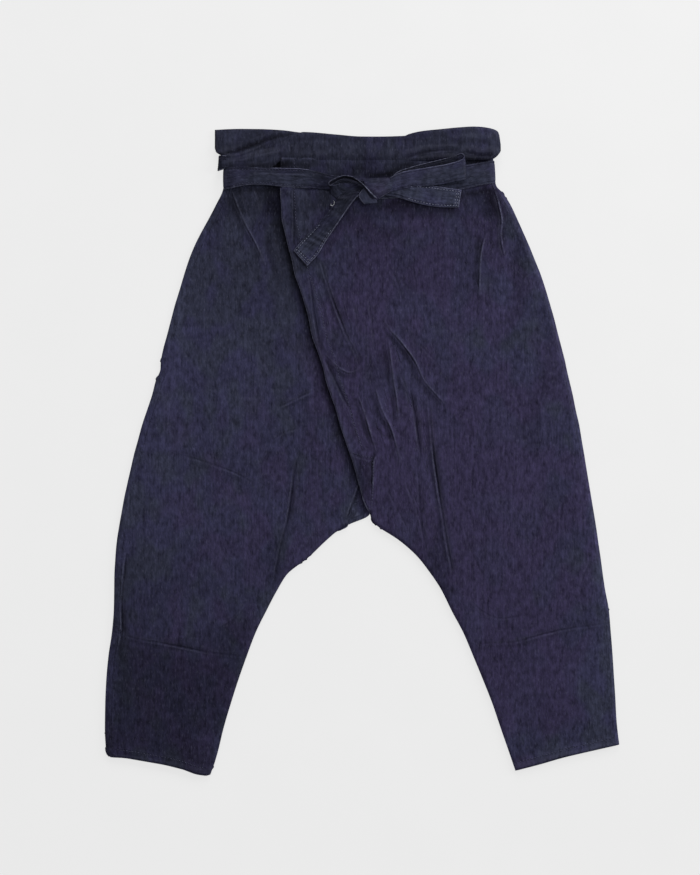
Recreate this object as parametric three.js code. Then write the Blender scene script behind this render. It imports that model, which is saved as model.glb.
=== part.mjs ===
// Momohiki trousers in indigo denim, laid flat and face up, with the waist ties in a bow.
// Millimetres. +X runs to the wearer's left, +Y to the waist, and Z = 0 is the surface
// that the garment lies on. Right and left in the names are the wearer's.
import * as THREE from 'three';

// ---- Driving dimensions ----
const CLOTH = 1.2; // one layer of denim
const BAND = 2.2; // waistband, denim folded double
const TIE = 1.4; // tie, a narrow strip hemmed on both sides
const AIR = 0.4; // air between layers that lie on each other
const SEAM = 0.3; // gap between pieces sewn edge to edge
const WAIST_SEAM_Y = 407; // height of the seam under the waistband
const FOOT = WAIST_SEAM_Y + SEAM; // lower edge of a waistband where it is sewn on
const TIE_WIDTH = 28;
const TURNED_EDGE = 21; // width of the turned edge along the wrap
const UNDER_RISE = 1.4; // how far the lower front stands off the back
const OVER_RISE = 3.0; // how far the upper front stands off the back
const LEG_RISE = 2.8; // how far a front stands off the back in the legs
const TURNED_EDGE_RISE = 0.8; // extra height of the turned edge
const PLEAT_RISE = 1.6; // height of the pleat beside the turned edge

// ---- Tables ----
// Each row of a table becomes an object with the named columns.
function table(names, ...rows) {
  const keys = names.split(/ +/);
  return rows.map((row) => Object.fromEntries(keys.map((key, i) => [key, row[i]])));
}

// Level sections of the body, waist seam to crotch: the right side fold, the edge of the wrap
// (below the gusset's top, the seam beside it), the hidden edge of the lower front, the centre
// back seam and the left side fold. pleat is the share of the pleat's height.
const BODY = table(
  'y    right   wrap  under centre left  turned pleat',
  [WAIST_SEAM_Y, -190.5, -114, 118, -1, 182, 0, 0],
  [376, -190.5, -114, 117, 0, 181.3, 0, 0],
  [366, -190.5, -114, 116, 0, 190, 0, 0],
  [362, -194, -114, 115, 0, 194.5, 0, 0],
  [325, -213.5, -112, 106, 1, 215.5, 1, 0],
  [288, -233.5, -103.5, 96, 2, 233, 1, 0.5],
  [247, -249, -94, 84, 3, 249.5, 1, 1],
  [204, -261.5, -79.5, 68, 4, 263, 1, 1],
  [162, -272.5, -70, 52, 5, 274, 1, 0.8],
  [120, -281, -55.5, 38, 6, 284.5, 1, 0],
  [78, -293.5, -43.5, 25, 7, 294.5, 1, 0],
  [36, -307.5, -32, 13, 8, 303.5, 1, 0],
  [-4, -318.5, -17.8, 3, 9, 310, 0.6, 0],
  [-11, -320, 13.9, 1.5, 9, 311.5, 0, 0],
  [-46, -328, 13.9, -6.5, 10, 317, 0, 0],
  [-87, -336, 11.3, -18.5, 11, 324, 0, 0],
);

// Sections of the legs below the crotch, from the side fold (out) to the inside leg (in).
const LEG_RIGHT = table(
  'outX  outY  inX   inY',
  [-340, -108, -20.5, -103.5],
  [-343, -130, -50, -125],
  [-345, -152, -76, -148],
  [-346, -174, -103, -170.5],
  [-346.5, -196, -119, -194],
  [-347, -222, -135.5, -225.5],
  [-349.5, -253, -149.5, -254],
  [-354.5, -287, -162, -287],
  [-357.5, -320, -174, -321],
  [-359, -353, -184.5, -354],
  [-359.5, -388, -194.5, -388],
  [-358.5, -413, -203, -422],
  [-353.5, -428.5, -213.5, -453.6],
);
const LEG_LEFT = table(
  'outX outY  inX  inY',
  [327, -108, 19, -104.5],
  [330, -129, 52, -125],
  [333, -150, 77, -147],
  [336, -171, 95.5, -170],
  [339, -193, 109.5, -192],
  [344.5, -222, 127, -226],
  [347.5, -251, 142, -254],
  [350, -282, 156, -287],
  [352, -313, 170, -321],
  [354, -344, 183, -354],
  [355.5, -374, 194.5, -388],
  [357.5, -396, 206, -421],
  [359.5, -411, 215, -447.5],
);
const HEM_ARCH_RIGHT = 4; // how far the middle of a hem bows up towards the knee
const HEM_ARCH_LEFT = 2.5;

// Gusset, top seam to crotch: its free edge along the wrap and its sewn edge.
const GUSSET = table(
  'freeX freeY  sewnX sewnY rise',
  [-16, -5, 13.4, -11.9, 3.0],
  [-10.8, -21, 13.5, -25, 3.0],
  [-4.9, -43, 13.5, -43, 3.0],
  [0.7, -64, 12.5, -62, 1.6],
  [6.4, -78, 11.5, -78, 0.6],
  [9.8, -85, 10.9, -86, 0.2],
);

// Sections of the waistbands along X: the lower and the upper edge.
const BACK_BAND = table(
  'x     low    high',
  [-205, 423.5, 448.3],
  [-203, 417.6, 448.5],
  [-198, 414.6, 448.8],
  [-190, FOOT, 449],
  [-142, FOOT, 449],
  [-90, FOOT, 446],
  [-33, FOOT, 441.4],
  [0, FOOT, 439],
  [60, FOOT, 439.6],
  [85, FOOT, 445.5],
  [112, FOOT, 448.5],
  [156, FOOT, 452],
  [181, FOOT, 449],
  [186, 409.5, 446],
  [190, 414, 443],
  [192.5, 420, 436],
);
const UNDER_BAND = table(
  'x     low    high',
  [-205.7, 423.5, 449.3],
  [-203.5, 417.6, 449.5],
  [-198.4, 414.6, 449.8],
  [-190.5, FOOT, 450.4],
  [-173, FOOT, 450.7],
  [-142, FOOT, 450.3],
  [-112, FOOT, 448.6],
  [-90, FOOT, 446],
  [-33, FOOT, 441.4],
  [0, FOOT, 438.9],
  [60, FOOT, 439.6],
  [85, FOOT, 445],
  [118, FOOT, 449],
);
const OVER_BAND = table(
  'x     low    high',
  [-196.5, 397.5, 413.5],
  [-186, 397, 413.6],
  [-178.5, 396.9, 416],
  [-162, 396.8, 421.5],
  [-148, 396.8, 427.3],
  [-133, 396.8, 433.2],
  [-125, 397.5, 436.7],
  [-115, FOOT, 438.8],
  [-105, FOOT, 440],
  [-90, FOOT, 443.4],
  [-77, FOOT, 446],
  [-33, FOOT, 442.4],
  [0, FOOT, 440],
  [40, FOOT, 440.2],
  [61.5, FOOT, 441],
  [84, FOOT, 447.4],
  [111, FOOT, 450.2],
  [156, FOOT, 453.6],
  [167, FOOT, 453.3],
  [181, FOOT, 451.1],
  [187, 410, 448.6],
  [191, 414, 445],
  [194.2, 420, 434],
);

// ---- Heights ----
const TIE_STEP = TIE + AIR;
const LIFT = 2 * TIE_STEP; // two ties pass behind the waist
// Level lines between which the back rises over the ties that pass under it.
const LIFT_LINES = table('y share', [325, 0], [362, 1], [416, 1], [436, 0]);

// Height of the garment's underside at a given y.
function lift(y) {
  const lines = LIFT_LINES;
  if (y <= lines[0].y || y >= lines.at(-1).y) return 0;
  const k = lines.findIndex((line) => line.y >= y);
  const below = lines[k - 1];
  const above = lines[k];
  const t = (y - below.y) / (above.y - below.y);
  return LIFT * THREE.MathUtils.lerp(below.share, above.share, t);
}

const ON_BACK = CLOTH + AIR; // underside of a front where it meets the back
const TIE_DECK = LIFT + ON_BACK + OVER_RISE + CLOTH + AIR; // underside of the tied ties
const TIE_TOP = TIE_DECK + TIE;

// ---- Solids ----
// Closed solid between two grids of points with the same rows and columns.
function solidBetween(name, lower, upper) {
  const rows = lower.length;
  const columns = lower[0].length;
  const positions = [...lower.flat(), ...upper.flat()].flatMap((p) => [p.x, p.y, p.z]);
  const low = (r, c) => r * columns + c;
  const high = (r, c) => rows * columns + low(r, c);
  const triangles = [];
  const quad = (a, b, c, d) => triangles.push(a, b, c, a, c, d);
  for (let r = 0; r < rows - 1; r++) {
    for (let c = 0; c < columns - 1; c++) {
      quad(low(r, c), low(r + 1, c), low(r + 1, c + 1), low(r, c + 1));
      quad(high(r, c), high(r, c + 1), high(r + 1, c + 1), high(r + 1, c));
    }
    quad(low(r, 0), high(r, 0), high(r + 1, 0), low(r + 1, 0));
    quad(low(r + 1, columns - 1), high(r + 1, columns - 1), high(r, columns - 1), low(r, columns - 1));
  }
  for (let c = 0; c < columns - 1; c++) {
    quad(low(0, c + 1), high(0, c + 1), high(0, c), low(0, c));
    quad(low(rows - 1, c), high(rows - 1, c), high(rows - 1, c + 1), low(rows - 1, c + 1));
  }
  const geometry = new THREE.BufferGeometry();
  geometry.setAttribute('position', new THREE.Float32BufferAttribute(positions, 3));
  geometry.setIndex(facingOut(positions, triangles));
  geometry.computeVertexNormals();
  return makeMesh(name, geometry);
}

// Turns all triangles over if they enclose a negative volume.
function facingOut(positions, triangles) {
  const at = (i) => new THREE.Vector3().fromArray(positions, 3 * i);
  let volume = 0;
  for (let i = 0; i < triangles.length; i += 3) {
    const [a, b, c] = [at(triangles[i]), at(triangles[i + 1]), at(triangles[i + 2])];
    volume += a.dot(b.cross(c));
  }
  if (volume > 0) return triangles;
  const turned = [...triangles];
  for (let i = 0; i < turned.length; i += 3) [turned[i + 1], turned[i + 2]] = [turned[i + 2], turned[i + 1]];
  return turned;
}

const denim = { color: 0x2e2d42, roughness: 0.95, metalness: 0 };
const shades = { band: 0x2b2c3d, tie: 0x292b3b };

function makeMesh(name, geometry) {
  const shade = Object.keys(shades).find((key) => name.includes(key) || (key === 'tie' && name.startsWith('bow')));
  const material = new THREE.MeshStandardMaterial({ ...denim, color: shades[shade] ?? denim.color });
  const mesh = new THREE.Mesh(geometry, material);
  mesh.name = name;
  return mesh;
}

// A layer of cloth over a grid of points, with its wall straight up.
function layer(name, grid, wall = CLOTH) {
  const upper = grid.map((row) => row.map((p) => new THREE.Vector3(p.x, p.y, p.z + wall)));
  return solidBetween(name, grid, upper);
}

// ---- Panels ----
// A panel's sections run from its outer edge to its inner edge, waist to hem.
// rise(section, along, inside) gives the height over the back, where along is the share of the
// way from the outer edge to the inner edge and inside the distance left to the inner edge.
function panel(name, sections, columns, height) {
  const grid = sections.map((section) => {
    const outer = new THREE.Vector2(section.outX, section.outY);
    const inner = new THREE.Vector2(section.inX, section.inY);
    const width = outer.distanceTo(inner);
    return columns(width).map((along) => {
      const p = outer.clone().lerp(inner, along);
      const arch = (section.arch ?? 0) * 4 * along * (1 - along);
      const z = lift(p.y) + height(section, along, width);
      return new THREE.Vector3(p.x, p.y + arch, z);
    });
  });
  return layer(name, grid);
}

// Sections of one half of the garment: the body's level ones, then the leg's.
function halfSections(side, innerColumn, leg, arch) {
  const body = BODY.map((row) => ({
    ...row,
    outX: row[side],
    outY: row.y,
    inX: row[innerColumn],
    inY: row.y,
    leg: 0,
  }));
  const legs = leg.map((row, i) => ({ ...row, leg: 1, arch: i === leg.length - 1 ? arch : 0 }));
  return [...body, ...legs];
}

// Share of the full height at a distance from an edge that is folded down.
const FOLDED_EDGE = table('distance share', [0, 0], [6, 0.45], [18, 0.8], [42, 1]);
function foldedEdge(distance) {
  const last = FOLDED_EDGE.at(-1);
  if (distance >= last.distance) return last.share;
  if (distance <= 0) return 0;
  const k = FOLDED_EDGE.findIndex((row) => row.distance > distance);
  const [a, b] = [FOLDED_EDGE[k - 1], FOLDED_EDGE[k]];
  return THREE.MathUtils.mapLinear(distance, a.distance, b.distance, a.share, b.share);
}

const EDGE_DISTANCES = FOLDED_EDGE.map((row) => row.distance);
const MIDDLE_SHARES = [0.35, 0.5, 0.65];

// Columns at set distances from both edges, with a few between them.
function foldColumns(innerDistances) {
  return (width) => {
    const outer = EDGE_DISTANCES.map((distance) => distance / width);
    const inner = innerDistances.map((distance) => 1 - distance / width).reverse();
    const [from, to] = [outer.at(-1), inner[0]];
    const middle = MIDDLE_SHARES.map((share) => THREE.MathUtils.lerp(from, to, share));
    return [...outer, ...middle, ...inner];
  };
}

// The back lies flat on the surface and on the ties behind it.
function backPanel(name, side, leg, arch, seamSide) {
  const sections = halfSections(side, 'centre', leg, arch);
  const inset = (SEAM / 2) * seamSide;
  const sewn = sections.map((s) => (s.leg && s !== sections.at(-1) ? s : { ...s, inX: s.inX + inset }));
  const columns = () => [0, 0.25, 0.5, 0.75, 1];
  return panel(name, sewn, columns, () => 0);
}

// Height of a front over the back: folded down at the side and at the inside leg.
function frontHeight(bodyRise, innerExtra) {
  return (section, along, width) => {
    const fromSide = foldedEdge(along * width);
    const fromInner = (1 - along) * width;
    const atCrotch = section.y === BODY.at(-1).y;
    const innerShare = section.leg || atCrotch ? foldedEdge(fromInner) : 1;
    const rise = section.leg ? LEG_RISE : bodyRise;
    const extra = section.leg ? 0 : innerExtra(section, fromInner);
    return ON_BACK + rise * Math.min(fromSide, innerShare) + extra;
  };
}

function frontRight() {
  const sections = halfSections('right', 'under', LEG_RIGHT, HEM_ARCH_RIGHT);
  const columns = foldColumns([0, 6, 18, 42]);
  return panel('front_right', sections, columns, frontHeight(UNDER_RISE, () => 0));
}

// Distances from the wrap edge: the turned edge's stitching, then the pleat.
const WRAP_COLUMNS = [0, TURNED_EDGE, TURNED_EDGE + 2, 37, 42, 54];
const [PLEAT_AT] = WRAP_COLUMNS.slice(4);

function frontLeft() {
  const sections = halfSections('left', 'wrap', LEG_LEFT, HEM_ARCH_LEFT);
  const edgeAndPleat = (section, fromInner) => {
    const onTurnedEdge = fromInner <= TURNED_EDGE + SEAM;
    const onPleat = Math.abs(fromInner - PLEAT_AT) < SEAM;
    return (onTurnedEdge ? TURNED_EDGE_RISE * section.turned : 0) + (onPleat ? PLEAT_RISE * section.pleat : 0);
  };
  return panel('front_left', sections, foldColumns(WRAP_COLUMNS), frontHeight(OVER_RISE, edgeAndPleat));
}

function crotchGusset() {
  const shares = [0, 0.5, 1];
  const grid = GUSSET.map((row) =>
    shares.map((share) => {
      const x = THREE.MathUtils.lerp(row.freeX, row.sewnX, share);
      const y = THREE.MathUtils.lerp(row.freeY, row.sewnY, share);
      return new THREE.Vector3(x, y, ON_BACK + row.rise);
    }),
  );
  return layer('crotch_gusset', grid);
}

// ---- Waistbands ----
// A band's points between its edges lie on the level lines where the lift changes.
function band(name, sections, deck) {
  const [, , liftEnd, liftOut] = LIFT_LINES.map((line) => line.y);
  const grid = sections.map(({ x, low, high }) => {
    const levels = [low, Math.min(Math.max(low + 3, liftEnd), high - 2), 0, high];
    levels[2] = Math.min(Math.max(levels[1] + 1, liftOut), high - 1);
    return levels.map((y) => new THREE.Vector3(x, y, lift(y) + deck));
  });
  return layer(name, grid, BAND);
}

// ---- Ribbons ----
function aboveSurface(point) {
  point.z = Math.max(point.z, 0);
  return point;
}

// A strip along a path. turn is the angle in plan of the strip's width from +Y, in degrees,
// and tip is the angle of the width out of the level plane.
function ribbon(name, rows, steps, thickness = TIE) {
  const path = new THREE.CatmullRomCurve3(
    rows.map((row) => new THREE.Vector3(row.x, row.y, row.z)),
    false,
    'centripetal',
  );
  const lower = [];
  const upper = [];
  for (let i = 0; i <= steps; i++) {
    const t = i / steps;
    const at = t * (rows.length - 1);
    const k = Math.min(Math.floor(at), rows.length - 2);
    const mix = (key) => THREE.MathUtils.lerp(rows[k][key] ?? 0, rows[k + 1][key] ?? 0, at - k);
    const centre = path.getPoint(t);
    const tangent = path.getTangent(t);
    const turn = THREE.MathUtils.degToRad(mix('turn'));
    const tip = THREE.MathUtils.degToRad(mix('tip'));
    const across = new THREE.Vector3(-Math.sin(turn) * Math.cos(tip), Math.cos(turn) * Math.cos(tip), Math.sin(tip));
    const out = new THREE.Vector3().crossVectors(tangent, across).normalize();
    const half = across.multiplyScalar(mix('width') / 2);
    const wall = out.multiplyScalar(thickness / 2);
    const edge = (side, level) =>
      aboveSurface(centre.clone().addScaledVector(half, side).addScaledVector(wall, level));
    lower.push([edge(-1, -1), edge(1, -1)]);
    upper.push([edge(-1, 1), edge(1, 1)]);
  }
  return solidBetween(name, lower, upper);
}

const ON_DECK = TIE_DECK + TIE / 2; // middle of a tie on the fronts
const BEHIND_LOW = TIE / 2; // middle of the lower tie behind the back
const BEHIND_HIGH = TIE_STEP + TIE / 2; // middle of the upper tie behind the back

const TIE_LEFT_RUN = table(
  'x      y    z     width',
  [19.8, 371, ON_DECK, 27],
  [-20, 373.5, ON_DECK, TIE_WIDTH],
  [-76, 379, ON_DECK, TIE_WIDTH],
  [-153, 382, ON_DECK, TIE_WIDTH],
  [-184, 381, ON_DECK, TIE_WIDTH],
  [-190, 381, 9.6, TIE_WIDTH],
  [-192.4, 381, 7.4, TIE_WIDTH],
  [-192.4, 381, 3.6, TIE_WIDTH],
  [-190.4, 381, 1.3, TIE_WIDTH],
  [-186, 381, BEHIND_LOW, TIE_WIDTH],
  [-180, 381, BEHIND_LOW, TIE_WIDTH],
);
const TIE_RIGHT_RUN = table(
  'x      y    z     width',
  [20.2, 371, ON_DECK, 27],
  [60, 375, ON_DECK, TIE_WIDTH],
  [110, 381, ON_DECK, TIE_WIDTH],
  [150, 387, ON_DECK, TIE_WIDTH],
  [178, 390, ON_DECK, TIE_WIDTH],
  [183.4, 390, 9.6, TIE_WIDTH],
  [185.6, 390, 7.4, TIE_WIDTH],
  [185.6, 390, 5.2, TIE_WIDTH],
  [184.8, 390, 3.5, TIE_WIDTH],
  [182.6, 390, BEHIND_HIGH, TIE_WIDTH],
  [178, 390, BEHIND_HIGH, TIE_WIDTH],
);
const TIE_BACK_UPPER = table(
  'x      y      z    width',
  [-196.9, 405.5, 9.9, 16],
  [-199.5, 405.5, 9.6, 16],
  [-202, 405.5, 7.8, 16],
  [-202.3, 405.5, 5.4, 16],
  [-201, 405.5, 3.4, 16],
  [-197, 405.5, BEHIND_HIGH, 16],
  [-190, 405.5, BEHIND_HIGH, 17],
  [-150, 403, BEHIND_HIGH, 22],
  [-60, 399, BEHIND_HIGH, TIE_WIDTH],
  [60, 395, BEHIND_HIGH, TIE_WIDTH],
  [177.6, 390, BEHIND_HIGH, TIE_WIDTH],
);
const TIE_BACK_LOWER = table(
  'x      y    z    width',
  [-179.6, 381, BEHIND_LOW, TIE_WIDTH],
  [-100, 383, BEHIND_LOW, TIE_WIDTH],
  [0, 386, BEHIND_LOW, TIE_WIDTH],
  [100, 389, BEHIND_LOW, TIE_WIDTH],
  [178, 390, BEHIND_LOW, TIE_WIDTH],
);

const ON_TIE = TIE_TOP + AIR + TIE / 2; // middle of a bow strip on the ties
const LOOP_RIGHT = table(
  'x    y      z      width turn',
  [44.5, 374, ON_TIE + 0.4, 17, 4],
  [58, 379, ON_TIE, 21, 8],
  [90, 386, ON_TIE, 27, 10],
  [125, 392, ON_TIE, 31, 6],
  [140, 394, ON_TIE + 0.4, 32, 2],
  [144.6, 394.4, ON_TIE + 1.8, 32, 0],
  [144.6, 394, ON_TIE + 3.3, 32, 0],
  [140, 393, ON_TIE + 4.6, 32, 2],
  [125, 390, ON_TIE + 4.6, 31, 6],
  [90, 383.5, ON_TIE + 4.6, 27, 10],
  [58, 376.5, ON_TIE + 4.2, 21, 8],
  [44.5, 373, ON_TIE + 4, 17, 4],
);
const LOOP_LEFT_Z = ON_TIE + 2.1; // the left loop starts over the left tail
const LOOP_LEFT = table(
  'x     y    z     width turn',
  [1.5, 374, LOOP_LEFT_Z, 14, -8],
  [-12, 376, LOOP_LEFT_Z, 17, -6],
  [-32, 376, LOOP_LEFT_Z, 18, 0],
  [-42, 375, LOOP_LEFT_Z + 0.3, 18, 0],
  [-46, 374.6, LOOP_LEFT_Z + 1.4, 18, 0],
  [-46, 374.4, LOOP_LEFT_Z + 2.8, 18, 0],
  [-42, 374.2, LOOP_LEFT_Z + 3.9, 18, 0],
  [-32, 375, LOOP_LEFT_Z + 4.2, 18, 0],
  [-12, 375, LOOP_LEFT_Z + 4.2, 17, -6],
  [1.5, 373, LOOP_LEFT_Z + 4, 14, -8],
);
const TAIL_DROP = ON_BACK + OVER_RISE + CLOTH + TURNED_EDGE_RISE + 2 * AIR + TIE / 2;
const TAIL_LEFT = table(
  'x     y    z    width turn',
  [4, 361.5, ON_TIE, 18, 38],
  [-14, 350, ON_TIE, 22, 42],
  [-37, 329.5, 10.4, 24, 47],
  [-61, 297.5, TAIL_DROP + 0.2, TIE_WIDTH, 50],
  [-74, 283.5, TAIL_DROP, TIE_WIDTH, 45],
  [-85.8, 269.6, TAIL_DROP, TIE_WIDTH, 41],
);
const TAIL_RIGHT = table(
  'x    y    z    width turn',
  [41, 351, ON_TIE, 18, -22],
  [60, 354.5, ON_TIE, 23, -8],
  [85, 355.5, ON_TIE, 25, -9],
  [110, 354, ON_TIE, 25, -5],
  [137.5, 352, ON_TIE - 1.2, 24, 2],
);

// ---- Knot ----
// A tight lump over the crossing of the ties: its corners in plan, and a domed top.
const KNOT_CORNERS = table('x y', [2.4, 382], [42, 380.7], [43.4, 364], [20.6, 350.3]);
const KNOT_EDGE = 4;
const KNOT_RISE = 9.5;

function bowKnot() {
  const [leftTop, rightTop, rightLow, leftLow] = KNOT_CORNERS.map((c) => new THREE.Vector2(c.x, c.y));
  const steps = [0, 0.12, 0.3, 0.5, 0.7, 0.88, 1];
  const lower = [];
  const upper = [];
  for (const down of steps) {
    const left = leftTop.clone().lerp(leftLow, down);
    const right = rightTop.clone().lerp(rightLow, down);
    const points = steps.map((across) => left.clone().lerp(right, across));
    const dome = (across) => Math.sqrt(Math.sin(Math.PI * across) * Math.sin(Math.PI * down));
    const floor = TIE_TOP + AIR;
    lower.push(points.map((p) => new THREE.Vector3(p.x, p.y, floor)));
    upper.push(points.map((p, i) => {
      const height = KNOT_EDGE + (KNOT_RISE - KNOT_EDGE) * dome(steps[i]);
      return new THREE.Vector3(p.x, p.y, floor + height);
    }));
  }
  return solidBetween('bow_knot', lower, upper);
}

// ---- The garment ----
const garment = new THREE.Group();
garment.name = 'momohiki_trousers';
garment.add(
  backPanel('back_right', 'right', LEG_RIGHT, HEM_ARCH_RIGHT, -1),
  backPanel('back_left', 'left', LEG_LEFT, HEM_ARCH_LEFT, 1),
  frontRight(),
  frontLeft(),
  crotchGusset(),
  band('waistband_back', BACK_BAND, 0),
  band('waistband_under', UNDER_BAND, BAND + AIR),
  band('waistband_over', OVER_BAND, 2 * (BAND + AIR) + SEAM / 2),
  ribbon('tie_back_lower', TIE_BACK_LOWER, 20),
  ribbon('tie_back_upper', TIE_BACK_UPPER, 50),
  ribbon('tie_left_run', TIE_LEFT_RUN, 50),
  ribbon('tie_right_run', TIE_RIGHT_RUN, 50),
  bowKnot(),
  ribbon('bow_loop_right', LOOP_RIGHT, 55),
  ribbon('bow_loop_left', LOOP_LEFT, 45),
  ribbon('bow_tail_left', TAIL_LEFT, 25),
  ribbon('bow_tail_right', TAIL_RIGHT, 16),
);

export default garment;
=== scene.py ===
"""Momohiki trousers in raw indigo denim, laid flat on a pale floor and seen from straight above.

Lengths are in millimetres in the row frame until a mesh is made, which is in metres. Right and left
in the names are the wearer's, so the right leg is on the viewer's left.
"""
import math

import bpy
import numpy as np
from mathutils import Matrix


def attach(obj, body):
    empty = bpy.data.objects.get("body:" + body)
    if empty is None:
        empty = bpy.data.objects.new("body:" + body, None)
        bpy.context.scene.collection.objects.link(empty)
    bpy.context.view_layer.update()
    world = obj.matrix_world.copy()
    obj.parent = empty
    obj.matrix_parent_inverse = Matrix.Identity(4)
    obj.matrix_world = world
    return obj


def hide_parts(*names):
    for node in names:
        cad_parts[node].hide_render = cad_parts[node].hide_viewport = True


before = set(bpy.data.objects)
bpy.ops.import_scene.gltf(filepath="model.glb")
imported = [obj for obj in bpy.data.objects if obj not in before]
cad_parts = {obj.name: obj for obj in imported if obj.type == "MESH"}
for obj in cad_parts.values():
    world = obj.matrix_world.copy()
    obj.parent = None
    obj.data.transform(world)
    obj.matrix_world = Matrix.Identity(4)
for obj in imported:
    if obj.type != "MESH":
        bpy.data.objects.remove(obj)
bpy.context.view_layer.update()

MM = 0.001
PX = 1.4  # millimetres to a pixel of the 700 x 875 picture
PX_ORIGIN = (361.7, 450.9)  # where the row's origin shows in that picture
PICTURE = (700, 875)
FAR = 40.0  # farther from a seam or an edge than its marks reach

# walls of the shells
CLOTH = 1.2
TIE = 1.4
LOOP_WALL = 0.9
BAND_WALL = 2.0


# ---------------------------------------------------------------- tables and curves
def table(names, *rows):
    """Columns of numbers by name."""
    return dict(zip(names.split(), np.array(rows, float).T))


def px_x(x):
    """Millimetres across the row frame from pixels of the picture."""
    return (np.asarray(x) - PX_ORIGIN[0]) * PX


def px_y(y):
    """Millimetres up the row frame from pixels of the picture."""
    return (PX_ORIGIN[1] - np.asarray(y)) * PX


def plan(points):
    """Millimetres in the row frame from pixels of the picture."""
    p = np.array(points, float).reshape(-1, 2)
    return np.stack([px_x(p[:, 0]), px_y(p[:, 1])], 1)


def smoothstep(low, high, x):
    """0 at low, 1 at high and smooth between, also where high is the lower of the two."""
    t = np.clip((x - low) / (high - low), 0, 1)
    return t * t * (3 - 2 * t)


def plateau(stretch, x):
    """0, then 1 between two ramps, then 0 again. stretch holds the ends of both ramps."""
    up_from, up_to, down_from, down_to = stretch
    return smoothstep(up_from, up_to, x) * (1 - smoothstep(down_from, down_to, x))


def bell(x, half):
    """1 at 0, and 0.37 at half on either side."""
    return np.exp(-((x / half) ** 2))


def beside(distance, look):
    """A change beside a line at a distance from it. look holds how much and over what half width."""
    change, half = look
    return change * bell(distance, half)


def quarter_round(x):
    """A round edge: 0 at 0, and 1 from 1 on."""
    return np.sqrt(1 - (1 - np.clip(x, 0, 1)) ** 2)


def unit(vectors):
    """The same vectors, 1 long."""
    return vectors / np.maximum(np.linalg.norm(vectors, axis=-1, keepdims=True), 1e-9)


def run_lengths(line):
    """Distance along a polyline at each of its points."""
    return np.concatenate([[0], np.cumsum(np.linalg.norm(np.diff(line, axis=0), axis=1))])


def curve(knots, values, x):
    """Monotone cubic through the knots, which may fall or rise."""
    k, v = np.asarray(knots, float), np.asarray(values, float)
    if k[0] > k[-1]:
        k, v = k[::-1], v[::-1]
    step = np.diff(k)
    slope = np.diff(v) / step
    m = np.zeros(len(k))
    m[0], m[-1] = slope[0], slope[-1]
    same = slope[:-1] * slope[1:] > 0
    w1, w2 = 2 * step[1:] + step[:-1], step[1:] + 2 * step[:-1]
    safe = np.where(same, slope[:-1] * slope[1:], 1)
    mean = (w1 + w2) * safe / (w1 * slope[1:] + w2 * slope[:-1] + (~same))
    m[1:-1] = np.where(same, mean, 0)
    x = np.clip(x, k[0], k[-1])
    i = np.clip(np.searchsorted(k, x, side="right") - 1, 0, len(k) - 2)
    h = step[i]
    t = (x - k[i]) / h
    a, b = (1 + 2 * t) * (1 - t) ** 2, t * (1 - t) ** 2
    c, d = t * t * (3 - 2 * t), t * t * (t - 1)
    return a * v[i] + b * h * m[i] + c * v[i + 1] + d * h * m[i + 1]


def curve_through(run, points, s):
    """The smooth curve through points at distances run, at distances s."""
    return np.stack([curve(run, column, s) for column in points.T], 1)


def straight_through(run, points, s):
    """The polyline through points at distances run, at distances s."""
    return np.stack([np.interp(s, run, column) for column in points.T], 1)


def smooth_line(points, spacing=4.0):
    """A polyline with a smooth curve drawn through its points."""
    p = np.asarray(points, float)
    run = run_lengths(p)
    return curve_through(run, p, np.linspace(0, run[-1], max(int(run[-1] / spacing), 2) + 1))


def nearest(p, line):
    """Distance of points p to a polyline, side (+1 left of its direction) and share along it."""
    best = np.full(len(p), np.inf)
    side = np.zeros(len(p))
    along = np.zeros(len(p))
    run = run_lengths(line)
    for a, d, r0, r1 in zip(line[:-1], np.diff(line, axis=0), run[:-1], run[1:]):
        rel = p - a
        t = np.clip(rel @ d / (d @ d), 0, 1)
        off = rel - t[:, None] * d
        dist = np.hypot(off[:, 0], off[:, 1])
        closer = dist < best
        best = np.where(closer, dist, best)
        side = np.where(closer, np.sign(d[0] * rel[:, 1] - d[1] * rel[:, 0]), side)
        along = np.where(closer, (r0 + t * (r1 - r0)) / run[-1], along)
    return best, side, along


def closest(p, lines):
    """Distance of points p to the nearest of several polylines."""
    return np.min([nearest(p, line)[0] for line in lines], axis=0)


def near_line(p, points, reach, spacing):
    """Which of p are near a line drawn in pixels, how they lie to it, and how it fades to its ends."""
    line = smooth_line(plan(points), spacing)
    near = np.nonzero(((p > line.min(0) - reach) & (p < line.max(0) + reach)).all(1))[0]
    dist, side, along = nearest(p[near], line)
    return near, dist, side, along, np.sqrt(np.clip(np.sin(math.pi * along), 0, 1))


def offset_line(line, distance):
    """A polyline moved sideways, to the left of its direction for a positive distance."""
    d = unit(np.gradient(line, axis=0))
    return line + distance * np.stack([-d[:, 1], d[:, 0]], 1)


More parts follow.
